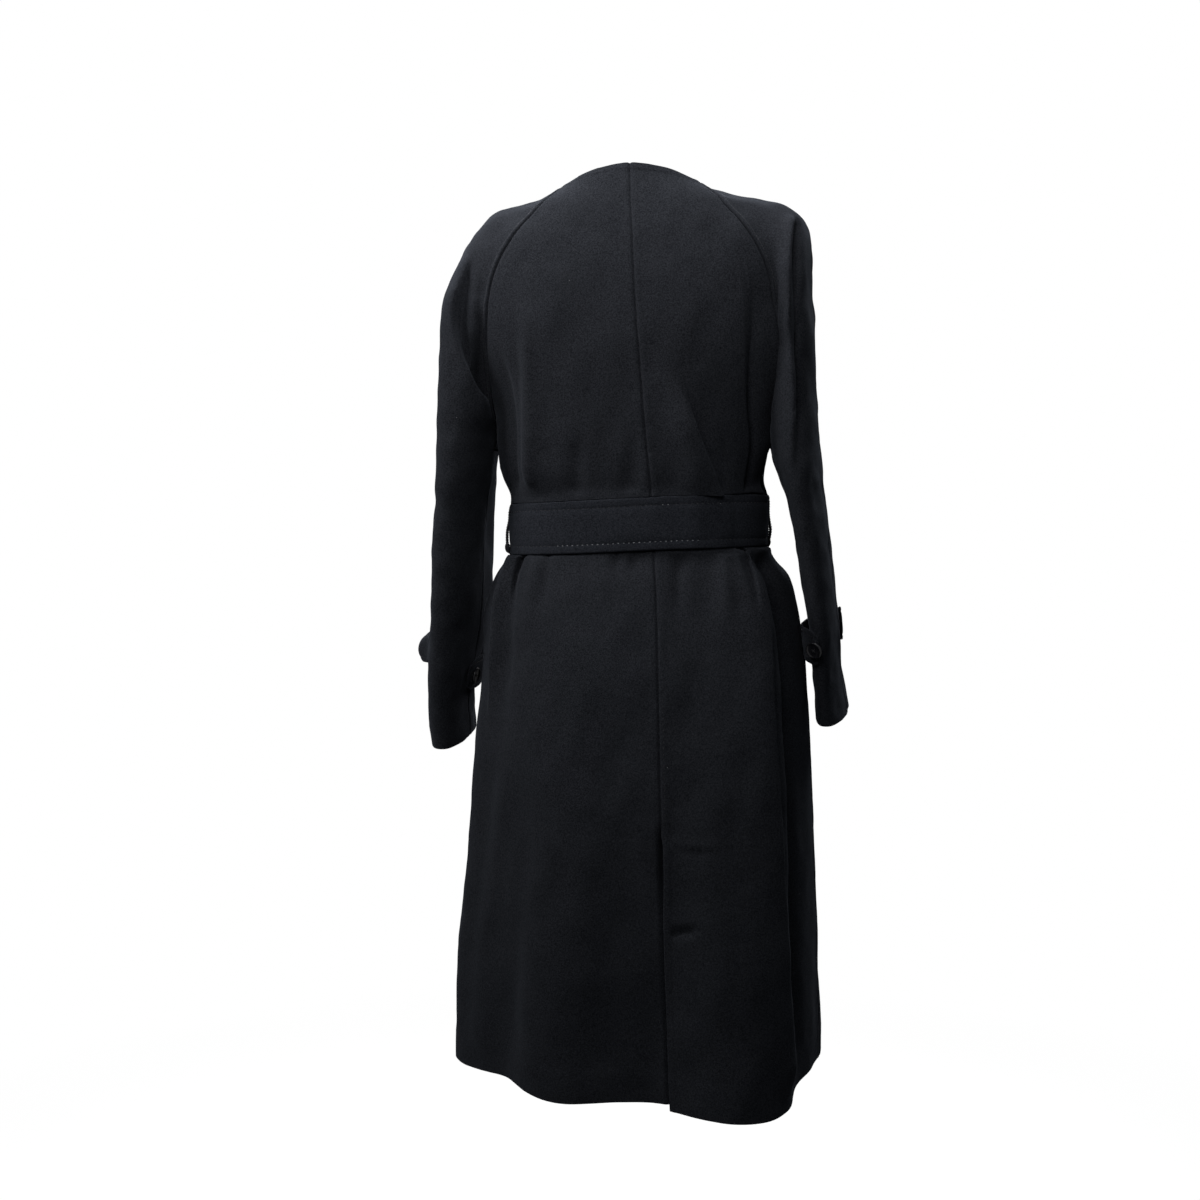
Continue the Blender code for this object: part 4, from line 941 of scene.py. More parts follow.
# ---------------------------------------------------------------- sleeves
def seam_loop(side):
    """Points round the raglan seam from the underarm up the back, past the neck and down the front,
    the way that the sleeve leaves each, and how near each is to the neck's own edge."""
    back, front = RAGLAN_ROWS[:, :2], RAGLAN_ROWS[::-1, 3:5]
    share = np.linspace(0, 1, NECK_ARC + 2)[1:-1, None]
    path = np.vstack([back, back[-1] + (front[0] - back[-1]) * share, front])
    turns, heights = side * path[:, 0], path[:, 1]
    points = body_point(turns, heights)
    smooth_way = unit(np.cross(np.gradient(points, axis=0), body_normal(turns, heights)))
    smooth_way *= np.sign(np.mean(smooth_way[:, 0]) * -side)
    share = ease((heights - UNDERARM_Z) / CREASE_HEIGHT)[:, None]
    way = share * smooth_way + (1 - share) * np.array([-side * 0.75, 0.0, -0.65])

    front_row = NECK_ROW + NECK_ARC + 1
    place = np.linspace(0, len(path) - 1, 20 * (len(path) - 1) + 1)
    arc = np.clip((place - NECK_ROW) / (NECK_ARC + 1), 0, 1)[:, None]
    fine = np.where(place[:, None] < NECK_ROW, through(back, place), back[-1] + (front[0] - back[-1]) * arc)
    fine = np.where(place[:, None] > front_row, through(front, place - front_row), fine)
    turns, heights = side * fine[:, 0], fine[:, 1]
    from_middle = np.abs(place - (NECK_ROW + front_row) / 2)
    neck = ease(((NECK_ARC + 1) / 2 + 0.2 - from_middle) * 2.5)
    points = body_point(turns, heights, body_details(turns, heights))
    return points, unit(through(unit(way), place)), neck


def ring_points(side, ring, shares):
    inner_x, inner_z, outer_x, outer_z, centre_y, half_depth, toe, lean = ring
    angle = math.tau * shares
    across, deep = -np.cos(angle), np.sin(angle)
    fuller = (np.abs(across) ** RING_POWER + np.abs(deep) ** RING_POWER) ** (-1 / RING_POWER)
    across, deep = across * fuller, deep * fuller
    x = (inner_x + outer_x) / 2 + (outer_x - inner_x) / 2 * across
    z = (inner_z + outer_z) / 2 + (outer_z - inner_z) / 2 * across
    y = centre_y + half_depth * deep
    x = x + (y - centre_y) * math.tan(math.radians(toe))
    return np.stack([-side * x, y, z - (y - centre_y) * lean], axis=1)


class Sleeve:
    """The form of one sleeve: a point for each place down it, counted by ring, and share round it."""

    SHARES = np.linspace(0, 1, 721)

    def __init__(self, side):
        self.side = side
        seam, way, neck = seam_loop(side)
        lengths = lengths_along(seam)
        known = lengths / lengths[-1]
        self.neck = np.interp(self.SHARES, known, neck)
        rings = LEFT_RINGS if side == LEFT else RIGHT_RINGS
        rings = [ring_points(side, ring, self.SHARES) for ring in rings]
        self.keys = np.array([columns_at(self.SHARES, known, seam)] + rings)
        self.spans = np.maximum(np.linalg.norm(np.diff(self.keys, axis=0), axis=2), 0.004)
        chords = np.diff(self.keys, axis=0) / self.spans[..., None]
        weight = (self.spans[1:] / (self.spans[1:] + self.spans[:-1]))[..., None]
        middle = weight * chords[:-1] + (1 - weight) * chords[1:]
        first = columns_at(self.SHARES, known, way)
        self.slopes = np.concatenate([first[None], middle, chords[-1:]])

    def at_share(self, table, row, share):
        place = np.clip(share, 0, 1) * (len(self.SHARES) - 1)
        i = np.minimum(place.astype(int), len(self.SHARES) - 2)
        t = place - i
        t = t[..., None] if table.ndim == 3 else t
        return table[row, i] * (1 - t) + table[row, i + 1] * t

    def bare(self, place, share):
        row = np.minimum(place.astype(int), CUFF - 1)
        span = self.at_share(self.spans, row, share)[..., None]
        leaving, arriving = (self.at_share(self.slopes, r, share) * span for r in (row, row + 1))
        start, end = (self.at_share(self.keys, r, share) for r in (row, row + 1))
        return hermite((place - row)[..., None], start, end, leaving, arriving)

    def details(self, points):
        """How far the creases and the soft unevenness move the cloth."""
        rise = waves(points, SLEEVE_WAVES)
        across, y, z = np.abs(points[..., 0]), points[..., 1], points[..., 2]
        from_middle, from_side = np.stack([across, z], -1), np.stack([y, z], -1)
        seen = {
            "back": (from_middle, ease(y / 0.045)),
            "front": (from_middle, ease(-y / 0.045)),
            "crown": (from_middle, 1.0),
            "outer": (from_side, ease((across - 0.195) / 0.02)),
            "inner": (from_side, ease((0.200 - across) / 0.02)),
        }
        for view, height, half_width, fade_in, fade_out, route, *kind in SLEEVE_CREASES[self.side]:
            flat, facing = seen[view]
            rise += facing * crease(flat, np.array(route), height, half_width, fade_in, fade_out, *kind)
        return rise

    def surface(self, place, share):
        """The sleeve's outer face with its creases, which fade out at the seam."""
        bare = self.bare(place, share)
        normals = grid_normals(bare, self.outwards(bare))
        from_seam = place * self.at_share(self.spans, np.zeros(place.shape, int), share)
        fading = np.where(place < 1, ease(from_seam / SEAM_FADE), 1.0)
        return bare + (self.details(bare) * fading)[..., None] * normals

    def outwards(self, points):
        middle = np.array([-self.side * 0.20, 0.0, 0.0])
        return unit((points - middle) * (1.0, 1.0, 0.0))

    def rows(self, shares):
        """Places of each row down the sleeve at these shares, with EDGE_STEPS at both ends."""
        first = self.at_share(self.spans, 0, shares)
        last = self.at_share(self.spans, CUFF - 1, shares)
        steps = [step / first for step in EDGE_STEPS]
        fractions = np.linspace(0, 1, int(RING_SPANS[0] / CELL) + 1)[1:]
        steps += [steps[-1] + (1 - steps[len(EDGE_STEPS) - 1]) * t for t in fractions]
        for k in range(1, CUFF - 1):
            cells = int(RING_SPANS[k] / CELL)
            steps += [np.full_like(shares, k + t) for t in np.linspace(0, 1, cells + 1)[1:]]
        end = EDGE_STEPS[-1] / last
        cells = int((RING_SPANS[-1] - EDGE_STEPS[-1]) / CELL)
        steps += [CUFF - 1 + (1 - end) * t for t in np.linspace(0, 1, cells + 1)[1:]]
        steps += [CUFF - step / last for step in EDGE_STEPS[-2::-1]]
        return np.array(steps)


def welted_seam(distance):
    """The sleeve's rise at the raglan seam: a raised welt held by a sunk row of stitches."""
    welt = ease((distance - 0.0006) / 0.0018) * ease((WELT + 0.0022 - distance) / 0.0025)
    rise = WELT_RISE * welt - WELT_GROOVE * bump(distance, 0.0016)
    return rise - WELT_STITCH_GROOVE * bump(distance - WELT, 0.0012)


def sleeve_half(sleeve, half, word, material):
    """The back or front half of a sleeve, from the underarm seam to the overarm seam: its piece, and
    points and normals for the row of stitches along its welt."""
    low, high = (0.0, 0.5) if half == "back" else (0.5, 1.0)

    def points_at(fractions):
        shares = low + (high - low) * fractions
        rows = sleeve.rows(shares)
        return sleeve.bare(rows, np.repeat(shares[None], len(rows), axis=0))

    fractions, from_first, from_last = placed(points_at, int(SLEEVE_HALF_WIDTH / CELL))
    shares = low + (high - low) * fractions
    places = np.array([sleeve.rows(row)[k] for k, row in enumerate(shares)])
    base = sleeve.surface(places, shares)
    from_seam = np.maximum(places, 0) * sleeve.at_share(sleeve.spans, 0, shares)
    from_seam = np.where(places < 1, from_seam, 1.0)
    from_cuff = (CUFF - places) * sleeve.at_share(sleeve.spans, CUFF - 1, shares)
    from_cuff = np.where(places > CUFF - 1, from_cuff, 1.0)
    neck = np.interp(shares, sleeve.SHARES, sleeve.neck)
    full = round_edge(from_cuff) * (1 + neck * (round_edge(from_seam) - 1))
    lift = sewn_edge(from_first) + sewn_edge(from_last) + doubled(from_cuff, CUFF_EDGE)
    lift += welted_seam(from_seam) * (1 - neck) + doubled(from_seam, NECK_EDGE) * neck
    outer, inner = cloth_wall(base, sleeve.outwards(base), lift, full)
    overlap(outer, inner, 0, 1)
    overlap(outer, inner, -1, -2)
    up = unit(base[0] - base[1]) * SEAM_OVERLAP
    outer[0] += up
    inner[0] += up
    name = f"sleeve_{word}_{half}"
    piece = mesh_piece(f"{name}_cloth", *wall(outer, inner), material, "black_wool")
    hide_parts(name)
    stitch_row = len(EDGE_STEPS[EDGE_STEPS < WELT])
    return piece, outer[stitch_row], unit(outer - inner)[stitch_row]


# ---------------------------------------------------------------- stitches and threads
def stitches(name, runs, kind, material):
    """Short capsules along runs of points and normals, half sunk in the cloth."""
    pitch, length, radius = STITCHES[kind]
    random = np.random.default_rng(5)
    spokes = np.linspace(0, math.tau, STITCH_SIDES + 1)[:-1]
    vertices, faces = [], []
    for points, normals in runs:
        lengths = lengths_along(points)
        for middle in np.arange(pitch / 2, lengths[-1], pitch):
            middle += random.normal() * pitch * STITCH_UNEVEN
            start, end = (columns_at(middle + s * length / 2, lengths, points) for s in (-1, 1))
            up = unit(columns_at(middle, lengths, normals))
            along = unit(end - start)
            beside = unit(np.cross(along, up))
            centre = (start + end) / 2 + up * radius * STITCH_RAISED
            faces += ring_faces(len(STITCH_PROFILE), STITCH_SIDES, len(vertices))
            for share, wide in STITCH_PROFILE:
                sag = -abs(share) * radius * STITCH_SAG
                for spoke in spokes:
                    out = math.cos(spoke) * beside + math.sin(spoke) * STITCH_FLAT * up
                    vertices.append(centre + along * share * length + out * radius * wide + up * sag)
    return mesh_piece(name, vertices, faces, material, "black_thread")


def tube(points, radii, sides):
    """Vertices and faces of a closed tube along points."""
    points = np.asarray(points)
    along = unit(np.gradient(points, axis=0))
    beside = unit(np.cross(along, np.where(np.abs(along[:, 2:]) > 0.9, (1.0, 0, 0), (0, 0, 1.0))))
    for k in range(1, len(points)):
        beside[k] = unit(beside[k - 1] - along[k] * (beside[k - 1] @ along[k]))
    up = np.cross(along, beside)
    radii = np.broadcast_to(radii, len(points))[:, None, None]
    spokes = np.linspace(0, math.tau, sides + 1)[:-1]
    out = np.cos(spokes)[None, :, None] * beside[:, None] + np.sin(spokes)[None, :, None] * up[:, None]
    return (points[:, None] + radii * out).reshape(-1, 3), ring_faces(len(points), sides)


def joined(parts):
    vertices, faces, first = [], [], 0
    for some, rings in parts:
        vertices.append(np.asarray(some))
        faces += [tuple(np.asarray(face) + first) for face in rings]
        first += len(some)
    return np.concatenate(vertices), faces


# ---------------------------------------------------------------- belt, keeper and loops
def belt_level(turn):
    return BELT_Z - BELT_TILT * WAIST_HALF_WIDTH * np.sin(np.radians(turn))


def belt_radius(turn):
    """The belt's inner face: just outside the widest place under it, or outside its own other end."""
    level = belt_level(turn)
    under = [body_radius(turn, level + BELT_WIDTH * share) for share in np.linspace(-0.57, 0.57, 9)]
    lift = (BELT_THICKNESS + LAYER_GAP) * ease((np.asarray(turn) - OVERLAP_FROM) / OVERLAP_BLEND)
    lift = lift + FRONT_SLACK * bump(apart(turn, 180.0), 16.0)
    return np.max(under, axis=0) + BELT_GAP + lift


def belt_point(turn, across, outwards):
    """across is in metres from the belt's centre line, upwards. The belt's edges curl in a little."""
    curl = 0.0005 * np.abs(2 * across / BELT_WIDTH) ** 3 * np.abs(np.sin(np.radians(turn))) ** 2
    radius = belt_radius(turn) - belt_pull(turn) - np.minimum(curl, 0.003) + outwards
    return at_turn(radius, turn, belt_level(turn) + across)


def band_across(width, stitch_in):
    """Places across a band: close together at its edges and its two rows of stitches."""
    half = width / 2
    edge = np.array([0, 0.0002, 0.0006, 0.0012, 0.0020, 0.0032, 0.0050])
    at_row = stitch_in + np.array([-0.0018, -0.0008, 0.0, 0.0008, 0.0018])
    side = np.unique(np.concatenate([edge[edge < stitch_in - 0.002], at_row]))
    middle = np.linspace(side[-1] - half, half - side[-1], 9)[1:-1]
    return np.concatenate([side - half, middle, half - side[::-1]])


def band_height(across, width, thickness, stitch_in):
    """A flat band's outer and inner heights: rounded edges, a groove at each row of stitches, and a
    slight swell between."""
    from_edge = width / 2 - np.abs(across)
    radius = thickness / 2
    full = rounded(from_edge, radius)
    groove = 0.00055 * bump(from_edge - stitch_in, 0.0011)
    swell = 0.0004 * ease((from_edge - stitch_in) / 0.008)
    return radius + radius * full - groove + swell - 0.0004, radius - radius * full


def make_belt(material, thread, highlight_thread):
    """The belt, and its two rows of stitches, whose thread is painted pale along a part of the back as a
    painted highlight.
    """
    turns = np.linspace(BELT_START, BELT_END, int(1.6 / CELL))
    turns, across = np.meshgrid(turns, band_across(BELT_WIDTH, BELT_STITCH_IN))
    outer, inner = band_height(across, BELT_WIDTH, BELT_THICKNESS, BELT_STITCH_IN)
    middle = BELT_THICKNESS / 2
    from_end = np.radians(np.minimum(turns - BELT_START, BELT_END - turns)) * BELT_END_RADIUS
    tip = rounded(from_end, middle, 0.02)
    outer, inner = middle + (outer - middle) * tip, middle + (inner - middle) * tip
    soft = waves(belt_point(turns, across, 0.0), BELT_WAVES)
    far, near = belt_point(turns, across, outer + soft), belt_point(turns, across, inner)
    belt = mesh_piece("belt_cloth", *wall(far, near), material, "black_wool")
    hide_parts("belt")

    normals = at_turn(1.0, turns, 0 * turns)
    # along part of the back the stitches take the pale thread of a painted highlight
    sewn, highlit = [], []
    for side, (start, end) in zip((-1, 1), HIGHLIT_STITCHES):
        row = np.argmin(np.abs(across[:, 0] - side * (BELT_WIDTH / 2 - BELT_STITCH_IN)))
        for low, high, runs in ((-BELT_SEWN, start, sewn), (start, end, highlit), (end, BELT_SEWN, sewn)):
            here = (turns[row] >= low) & (turns[row] < high)
            runs.append((far[row, here], normals[row, here]))
    stitches("belt_stitches", sewn, "belt", thread)
    stitches("belt_highlight_stitches", highlit, "highlit belt", highlight_thread)
    return belt


def make_keeper(material):
    """A flat ring of the same cloth, round both ends of the belt at the centre front."""
    half = math.degrees(KEEPER_WIDTH / 2 / float(belt_radius(180.0)))
    turns = 180.0 + np.linspace(-half, half, 15)
    back = -(BELT_THICKNESS + LAYER_GAP) - KEEPER_GAP
    front = BELT_THICKNESS + KEEPER_GAP
    edge = BELT_WIDTH / 2 + KEEPER_GAP
    ring = [
        (*corner, math.cos(math.radians(angle)), math.sin(math.radians(angle)))
        for quarter, corner in enumerate(((front, edge), (back, edge), (back, -edge), (front, -edge)))
        for angle in np.linspace(90 * quarter, 90 * quarter + 90, 6)
    ]
    corner_out, corner_up, way_out, way_up = np.array(ring + ring[:1]).T[:, :, None]
    from_edge = np.radians(half - np.abs(turns - 180.0)) * BELT_END_RADIUS
    full = rounded(from_edge, KEEPER_CLOTH / 2, 0.04)
    grids = []
    for side in (1, -1):
        reach = KEEPER_CLOTH / 2 * (1 + side * full[None])
        out, up = corner_out + way_out * reach, corner_up + way_up * reach
        grids.append(belt_point(np.repeat(turns[None], len(out), axis=0), up, out))
    keeper = mesh_piece("belt_keeper_cloth", *ring_wall(*grids), material, "black_wool")
    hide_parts("belt_keeper")
    return keeper


def make_loop(side, word, material):
    """A thread loop that holds the belt at the side seam: two strands twisted together, in a slack bow
    that stands off the belt, with a knot at each end."""
    turn = float(side_turn(side, BELT_Z))
    middle, half = float(belt_level(turn)), BELT_WIDTH / 2
    face = float(belt_radius(turn) - belt_pull(turn)) + BELT_THICKNESS
    path = [(face + off, middle + half * level) for off, level in LOOPS[side]]
    route = through(path, np.linspace(0, len(path) - 1, LOOP_POINTS))
    outwards = at_turn(1.0, turn, 0.0)
    beside = np.array([outwards[1], -outwards[0], 0.0])
    points = outwards * route[:, :1] + np.array([0, 0, 1.0]) * route[:, 1:]
    away = unit(np.cross(np.gradient(points, axis=0), beside))
    parts = []
    for start in (0.0, math.pi):
        twist = (start + lengths_along(points) / STRAND_TWIST * math.tau)[:, None]
        strand = points + STRAND_OUT * (np.cos(twist) * beside + np.sin(twist) * away)
        parts.append(tube(strand, STRAND_RADIUS, 8))
    knot = np.linspace(-1, 1, 9)
    for place, long, wide in LOOP_KNOTS[side]:
        way = unit(points[place + 3] - points[place - 3])
        radii = wide * np.sqrt(1.02 - knot**2)
        parts.append(tube(points[place] + np.outer(knot * long, way), radii, 10))
    loop = mesh_piece(f"belt_loop_{word}_thread", *joined(parts), material, "black_thread")
    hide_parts(f"belt_loop_{word}")


# ---------------------------------------------------------------- cuff straps and buttons
class SleeveMap:
    """Looks up points of a sleeve's finished outer face by share and height."""

    SHARES = 360

    def __init__(self, sleeve):
        places, shares = np.linspace(2.5, CUFF, 140), np.linspace(0, 1, self.SHARES + 1)
        self.points = sleeve.surface(*np.meshgrid(places, shares, indexing="ij"))
        self.normals = grid_normals(self.points, sleeve.outwards(self.points))
        closing = unit(self.normals[:, 0] + self.normals[:, -1])
        self.normals[:, 0], self.normals[:, -1] = closing, closing

    def __call__(self, share, z):
        """One share and many heights: points and normals."""
        place = share % 1.0 * self.SHARES
        i = min(int(place), self.SHARES - 1)
        t = place - i
        line, facing = (grid[:, i] * (1 - t) + grid[:, i + 1] * t for grid in (self.points, self.normals))
        order = np.argsort(line[:, 2])
        known = line[order, 2]
        return columns_at(z, known, line[order]), unit(columns_at(z, known, facing[order]))


def strap_level(side, share):
    start, end, start_z, end_z, _ = STRAPS[side]
    return start_z + (end_z - start_z) * (share - start) / (end - start)


def strap_stand_off(side, share, across):
    """across is -1 at the strap's lower edge and 1 at its upper edge, which lies closer."""
    closer = 1.0 - 0.2 * across - 0.5 * across**2 if side == LEFT else 1.0
    how_far = sum(rise * bump(share - at, half_width) for at, rise, half_width in STANDS_OFF[side])
    return LAYER_GAP + STRAP_GAP + closer * how_far


def make_strap(side, word, sleeve_map, material, thread):
    """A strap round the cuff with a round tip, and its stitches along both edges and across the tip."""
    start, end, start_z, _, _ = STRAPS[side]
    half, middle = STRAP_WIDTH / 2, STRAP_THICKNESS / 2
    across = band_across(STRAP_WIDTH, STRAP_STITCH_IN) / half
    circle = np.array([sleeve_map(share, np.array([start_z]))[0][0] for share in np.linspace(0, 1, 60)])
    girth = lengths_along(circle)[-1]
    tip = TIP_STEPS / girth
    body = np.arange(start + 0.02, end - tip[-1] - 0.004, 0.010)
    outer, inner, ways = [], [], []
    for share in np.concatenate([start + tip[:5], body, end - tip[::-1]]):
        width = half * (0.5 + 0.5 * rounded((end - share) * girth, half, 0.0))
        points, normals = sleeve_map(share, strap_level(side, share) + across * width)
        normals = unit(normals + 2 * normals.mean(0))
        stand = (strap_stand_off(side, share, across) + np.zeros(len(across)))[:, None]
        full = rounded(min(share - start, end - share) * girth, middle, 0.02)
        heights = band_height(across * half, STRAP_WIDTH, STRAP_THICKNESS, STRAP_STITCH_IN)
        for grid, height in zip((outer, inner), heights):
            grid.append(points + normals * (stand + middle + (height[:, None] - middle) * full))
        ways.append(normals)
    outer, inner, ways = (np.array(grid).swapaxes(0, 1) for grid in (outer, inner, ways))
    strap = mesh_piece(f"cuff_strap_{word}_cloth", *wall(outer, inner), material, "black_wool")
    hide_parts(f"cuff_strap_{word}")
    low, high = (np.argmin(np.abs(across - side * (1 - STRAP_STITCH_IN / half))) for side in (-1, 1))
    runs = [(outer[row, 6:-7], ways[row, 6:-7]) for row in (low, high)]
    runs.append((outer[low : high + 1, -7], ways[low : high + 1, -7]))
    stitches(f"cuff_strap_{word}_stitches", runs, "strap", thread)
    return strap


def button_seat(side, sleeve_map):
    """The middle of a button's back on its strap, and its three ways: outwards, beside and up."""
    share = STRAPS[side][4]
    level = strap_level(side, share)

    def on_strap(share, level):
        points, normals = sleeve_map(share, np.array([level]))
        return points[0] + normals[0] * (strap_stand_off(side, share, 0.0) + STRAP_THICKNESS)

    round_it = on_strap(share + 0.015, level) - on_strap(share - 0.015, level)
    normal = unit(np.cross(on_strap(share, level + 0.008) - on_strap(share, level - 0.008), round_it))
    normal *= np.sign(normal @ sleeve_map(share, np.array([level]))[1][0])
    beside = unit(np.cross((0.0, 0.0, 1.0), normal))
    return on_strap(share, level) + normal * BUTTON_LIFT, normal, beside, np.cross(normal, beside)


def make_button(side, word, sleeve_map, material, thread):
    """A turned button with a raised rim, a dished middle and four holes sewn through."""
    base, normal, beside, up = button_seat(side, sleeve_map)

    def out(angles):
        return np.outer(np.cos(angles), beside) + np.outer(np.sin(angles), up)

    spokes = out(np.linspace(0, math.tau, BUTTON_SIDES + 1)[:-1])
    rings = [base + normal * height + BUTTON_RADIUS * share * spokes for share, height in BUTTON_PROFILE]
    faces = ring_faces(len(rings), BUTTON_SIDES)
    button = mesh_piece(f"cuff_button_{word}_turned", np.concatenate(rings), faces, material, "black_button")
    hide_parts(f"cuff_button_{word}")

    holes = base + normal * HOLE_HEIGHT + HOLE_OUT * out(math.tau * (np.arange(4) + 0.5) / 4)
    rim = HOLE_RADIUS * out(np.linspace(0, math.tau, 13))
    parts = [tube(hole + rim, RIM_THREAD, 6) for hole in holes]
    t = np.linspace(0, 1, 9)[:, None]
    arch = normal * (0.0002 + 0.0005 * np.sin(math.pi * t))
    for first, second in ((0, 2), (1, 3)):
        for shift in (-0.00028, 0.00028):
            line = holes[first] * (1 - t) + holes[second] * t + arch + shift * beside
            parts.append(tube(line, CROSS_THREAD, 6))
    mesh_piece(f"cuff_button_{word}_sewing", *joined(parts), thread, "black_thread")


# ---------------------------------------------------------------- materials
def feed(tree, socket, value):
    """Links another node's output to a socket, or sets the socket's own value."""
    if isinstance(value, bpy.types.NodeSocket):
        tree.links.new(value, socket)
    else:
        socket.default_value = value


def node(tree, kind, inputs=(), **settings):
    """A shader node with its settings, and its inputs set or linked by name or by number."""
    made = tree.nodes.new(kind)
    for key, value in settings.items():
        setattr(made, key, value)
    for key, value in dict(inputs).items():
        feed(tree, made.inputs[key], value)
    return made


def new_material(name, looks):
    """A material whose looks are a function of its node tree and object coordinates, which gives the
    inputs of its shader."""
    material = bpy.data.materials.new(name)
    material.use_nodes = True
    tree = material.node_tree
    shader = tree.nodes["Principled BSDF"]
    for key, value in looks(tree, node(tree, "ShaderNodeTexCoord").outputs["Object"]).items():
        feed(tree, shader.inputs[key], value)
    return material


def noise(tree, place, scale, detail=3.0, roughness=0.55):
    inputs = {"Vector": place, "Scale": scale, "Detail": detail, "Roughness": roughness}
    return node(tree, "ShaderNodeTexNoise", inputs).outputs["Fac"]


def stretched(tree, place, along_z):
    mapping = node(tree, "ShaderNodeMapping", {"Vector": place, "Scale": (1.0, 1.0, along_z)})
    return mapping.outputs[0]


def ramp(tree, value, low, dark, high, light):
    """A colour from dark at the low value to light at the high one."""
    made = node(tree, "ShaderNodeValToRGB", {"Fac": value})
    for element, position, colour in zip(made.color_ramp.elements, (low, high), (dark, light)):
        element.position = position
        element.color = (*colour, 1.0)
    return made.outputs["Color"]


def math_node(tree, operation, *values):
    return node(tree, "ShaderNodeMath", dict(enumerate(values)), operation=operation).outputs[0]


def bumped(tree, height, strength, distance):
    """Normals that show a height, for a shader's Normal."""
    inputs = {"Strength": strength, "Distance": distance, "Height": height}
    return node(tree, "ShaderNodeBump", inputs).outputs[0]


LINT_COLOUR = (0.16, 0.16, 0.17, 1.0)


def lint(tree, place):
    """1 on a few stray specks."""
    cells = node(tree, "ShaderNodeTexVoronoi", {"Vector": place, "Scale": 42.0, "Randomness": 1.0})
    speck = math_node(tree, "LESS_THAN", cells.outputs["Distance"], 0.020)
    seldom = math_node(tree, "GREATER_THAN", noise(tree, place, 23.0, 0.0), 0.63)
    return math_node(tree, "MULTIPLY", speck, seldom)


def wool_material(name, dark, light):
    """Milled black wool: a short felted nap over a hidden weave, slightly mottled, with stray lint."""

    def looks(tree, place):
        mottle = noise(tree, place, 26.0, 2.0, 0.5)
        nap = noise(tree, place, 640.0, 3.0, 0.75)
        fibres = noise(tree, stretched(tree, place, 0.28), 1500.0, 2.0)
        blend = math_node(tree, "MULTIPLY_ADD", nap, 0.90, math_node(tree, "MULTIPLY", mottle, 0.10))
        colour = ramp(tree, blend, 0.36, dark, 0.64, light)
        mix = {0: lint(tree, place), 6: colour, 7: LINT_COLOUR}
        height = math_node(tree, "MULTIPLY_ADD", fibres, 0.35, math_node(tree, "MULTIPLY", nap, 0.65))
        return {
            "Base Color": node(tree, "ShaderNodeMix", mix, data_type="RGBA").outputs[2],
            "Roughness": math_node(tree, "MULTIPLY_ADD", nap, 0.10, 0.86),
            "Specular IOR Level": 0.0,
            "Sheen Weight": 0.05,
            "Sheen Roughness": 0.45,
            "Sheen Tint": (0.62, 0.68, 0.80, 1.0),
            "Normal": bumped(tree, height, 0.55, 0.0006),
        }

    return new_material(name, looks)


def button_material():
    """Polished dark horn: faint streaks under a weak, even gloss."""

    def looks(tree, place):
        streak = noise(tree, stretched(tree, place, 0.3), 260.0, 4.0)
        rough = math_node(tree, "MULTIPLY_ADD", streak, 0.10, 0.12)
        normal = bumped(tree, streak, 0.10, 0.0002)
        base = tree.nodes["Principled BSDF"].outputs[0]
        gloss = node(tree, "ShaderNodeBsdfGlossy", {"Roughness": rough, "Normal": normal}).outputs[0]
        mix = node(tree, "ShaderNodeMixShader", {0: 0.014, 1: base, 2: gloss})
        feed(tree, tree.nodes["Material Output"].inputs["Surface"], mix.outputs[0])
        return {
            "Base Color": ramp(tree, streak, 0.40, (0.006, 0.006, 0.008), 0.62, (0.015, 0.015, 0.017)),
            "Roughness": rough,
            "Specular IOR Level": 0.0,
            "Normal": normal,
        }

    return new_material("polished_black_horn", looks)


def thread_material(name, dark, light):
    """Twisted thread: fine strands with a dull shine."""

    def looks(tree, place):
        strand = noise(tree, place, 2400.0, 2.0)
        return {
            "Base Color": ramp(tree, strand, 0.35, dark, 0.65, light),
            "Roughness": math_node(tree, "MULTIPLY_ADD", strand, 0.15, 0.55),
            "Specular IOR Level": 0.10,
            "Sheen Weight": 0.05,
            "Normal": bumped(tree, strand, 0.5, 0.0002),
        }

    return new_material(name, looks)


# ---------------------------------------------------------------- camera, light and floor
VIEW_AZIMUTH = 189.0  # from straight in front, so the back shows with a little of the wearer's right
VIEW_DISTANCE = 1.85
EYE_Z = -0.393
AIM_ASIDE = 0.0452  # the coat's middle stands this far right of the picture's
AIM_BELOW = 0.0892
LENS, SENSOR = 46.64, 36.0  # in millimetres
CLIP_START = 0.05

# name, place, what it points at, size, watts
LAMPS = (
    ("key", (0.08, 0.95, 0.16), (0.0, 0.08, -0.22), (0.60, 0.45), 4.8),
    ("top", (0.02, 0.00, 0.80), (0.0, -0.02, -0.1), (0.9, 0.5), 18.0),
    ("left", (0.92, 0.42, 0.42), (0.22, 0.0, -0.12), (0.4, 0.4), 14.0),
    ("front", (0.42, -0.95, 0.60), (0.0, -0.05, -0.40), (0.8, 0.6), 30.0),
    ("right", (-0.62, -1.08, 0.35), (-0.15, -0.05, -0.35), (0.6, 0.6), 12.0),
)
SKY, SKY_STRENGTH = (0.80, 0.90, 1.0, 1.0), 0.07
WHITE = (1.0, 1.0, 1.0, 1.0)

FLOOR_Z = -1.42
FLOOR_HALF = 6.0
FLOOR_BOUNCE = (0.18, 0.18, 0.18, 1.0)  # what it reflects onto the coat
SHADOW_FULL_TO, SHADOW_GONE_AT, SHADOW_SHARE = 0.5, 1.6, 0.22


def aimed(name, data, place, target):
    """An object at a place, turned to look at a target."""
    thing = bpy.data.objects.new(name, data)
    bpy.context.scene.collection.objects.link(thing)
    way = unit(np.array(target, float) - np.array(place, float))
    thing.location = place
    thing.rotation_euler = (math.acos(-way[2]), 0.0, math.atan2(way[1], way[0]) - math.pi / 2)
    return thing


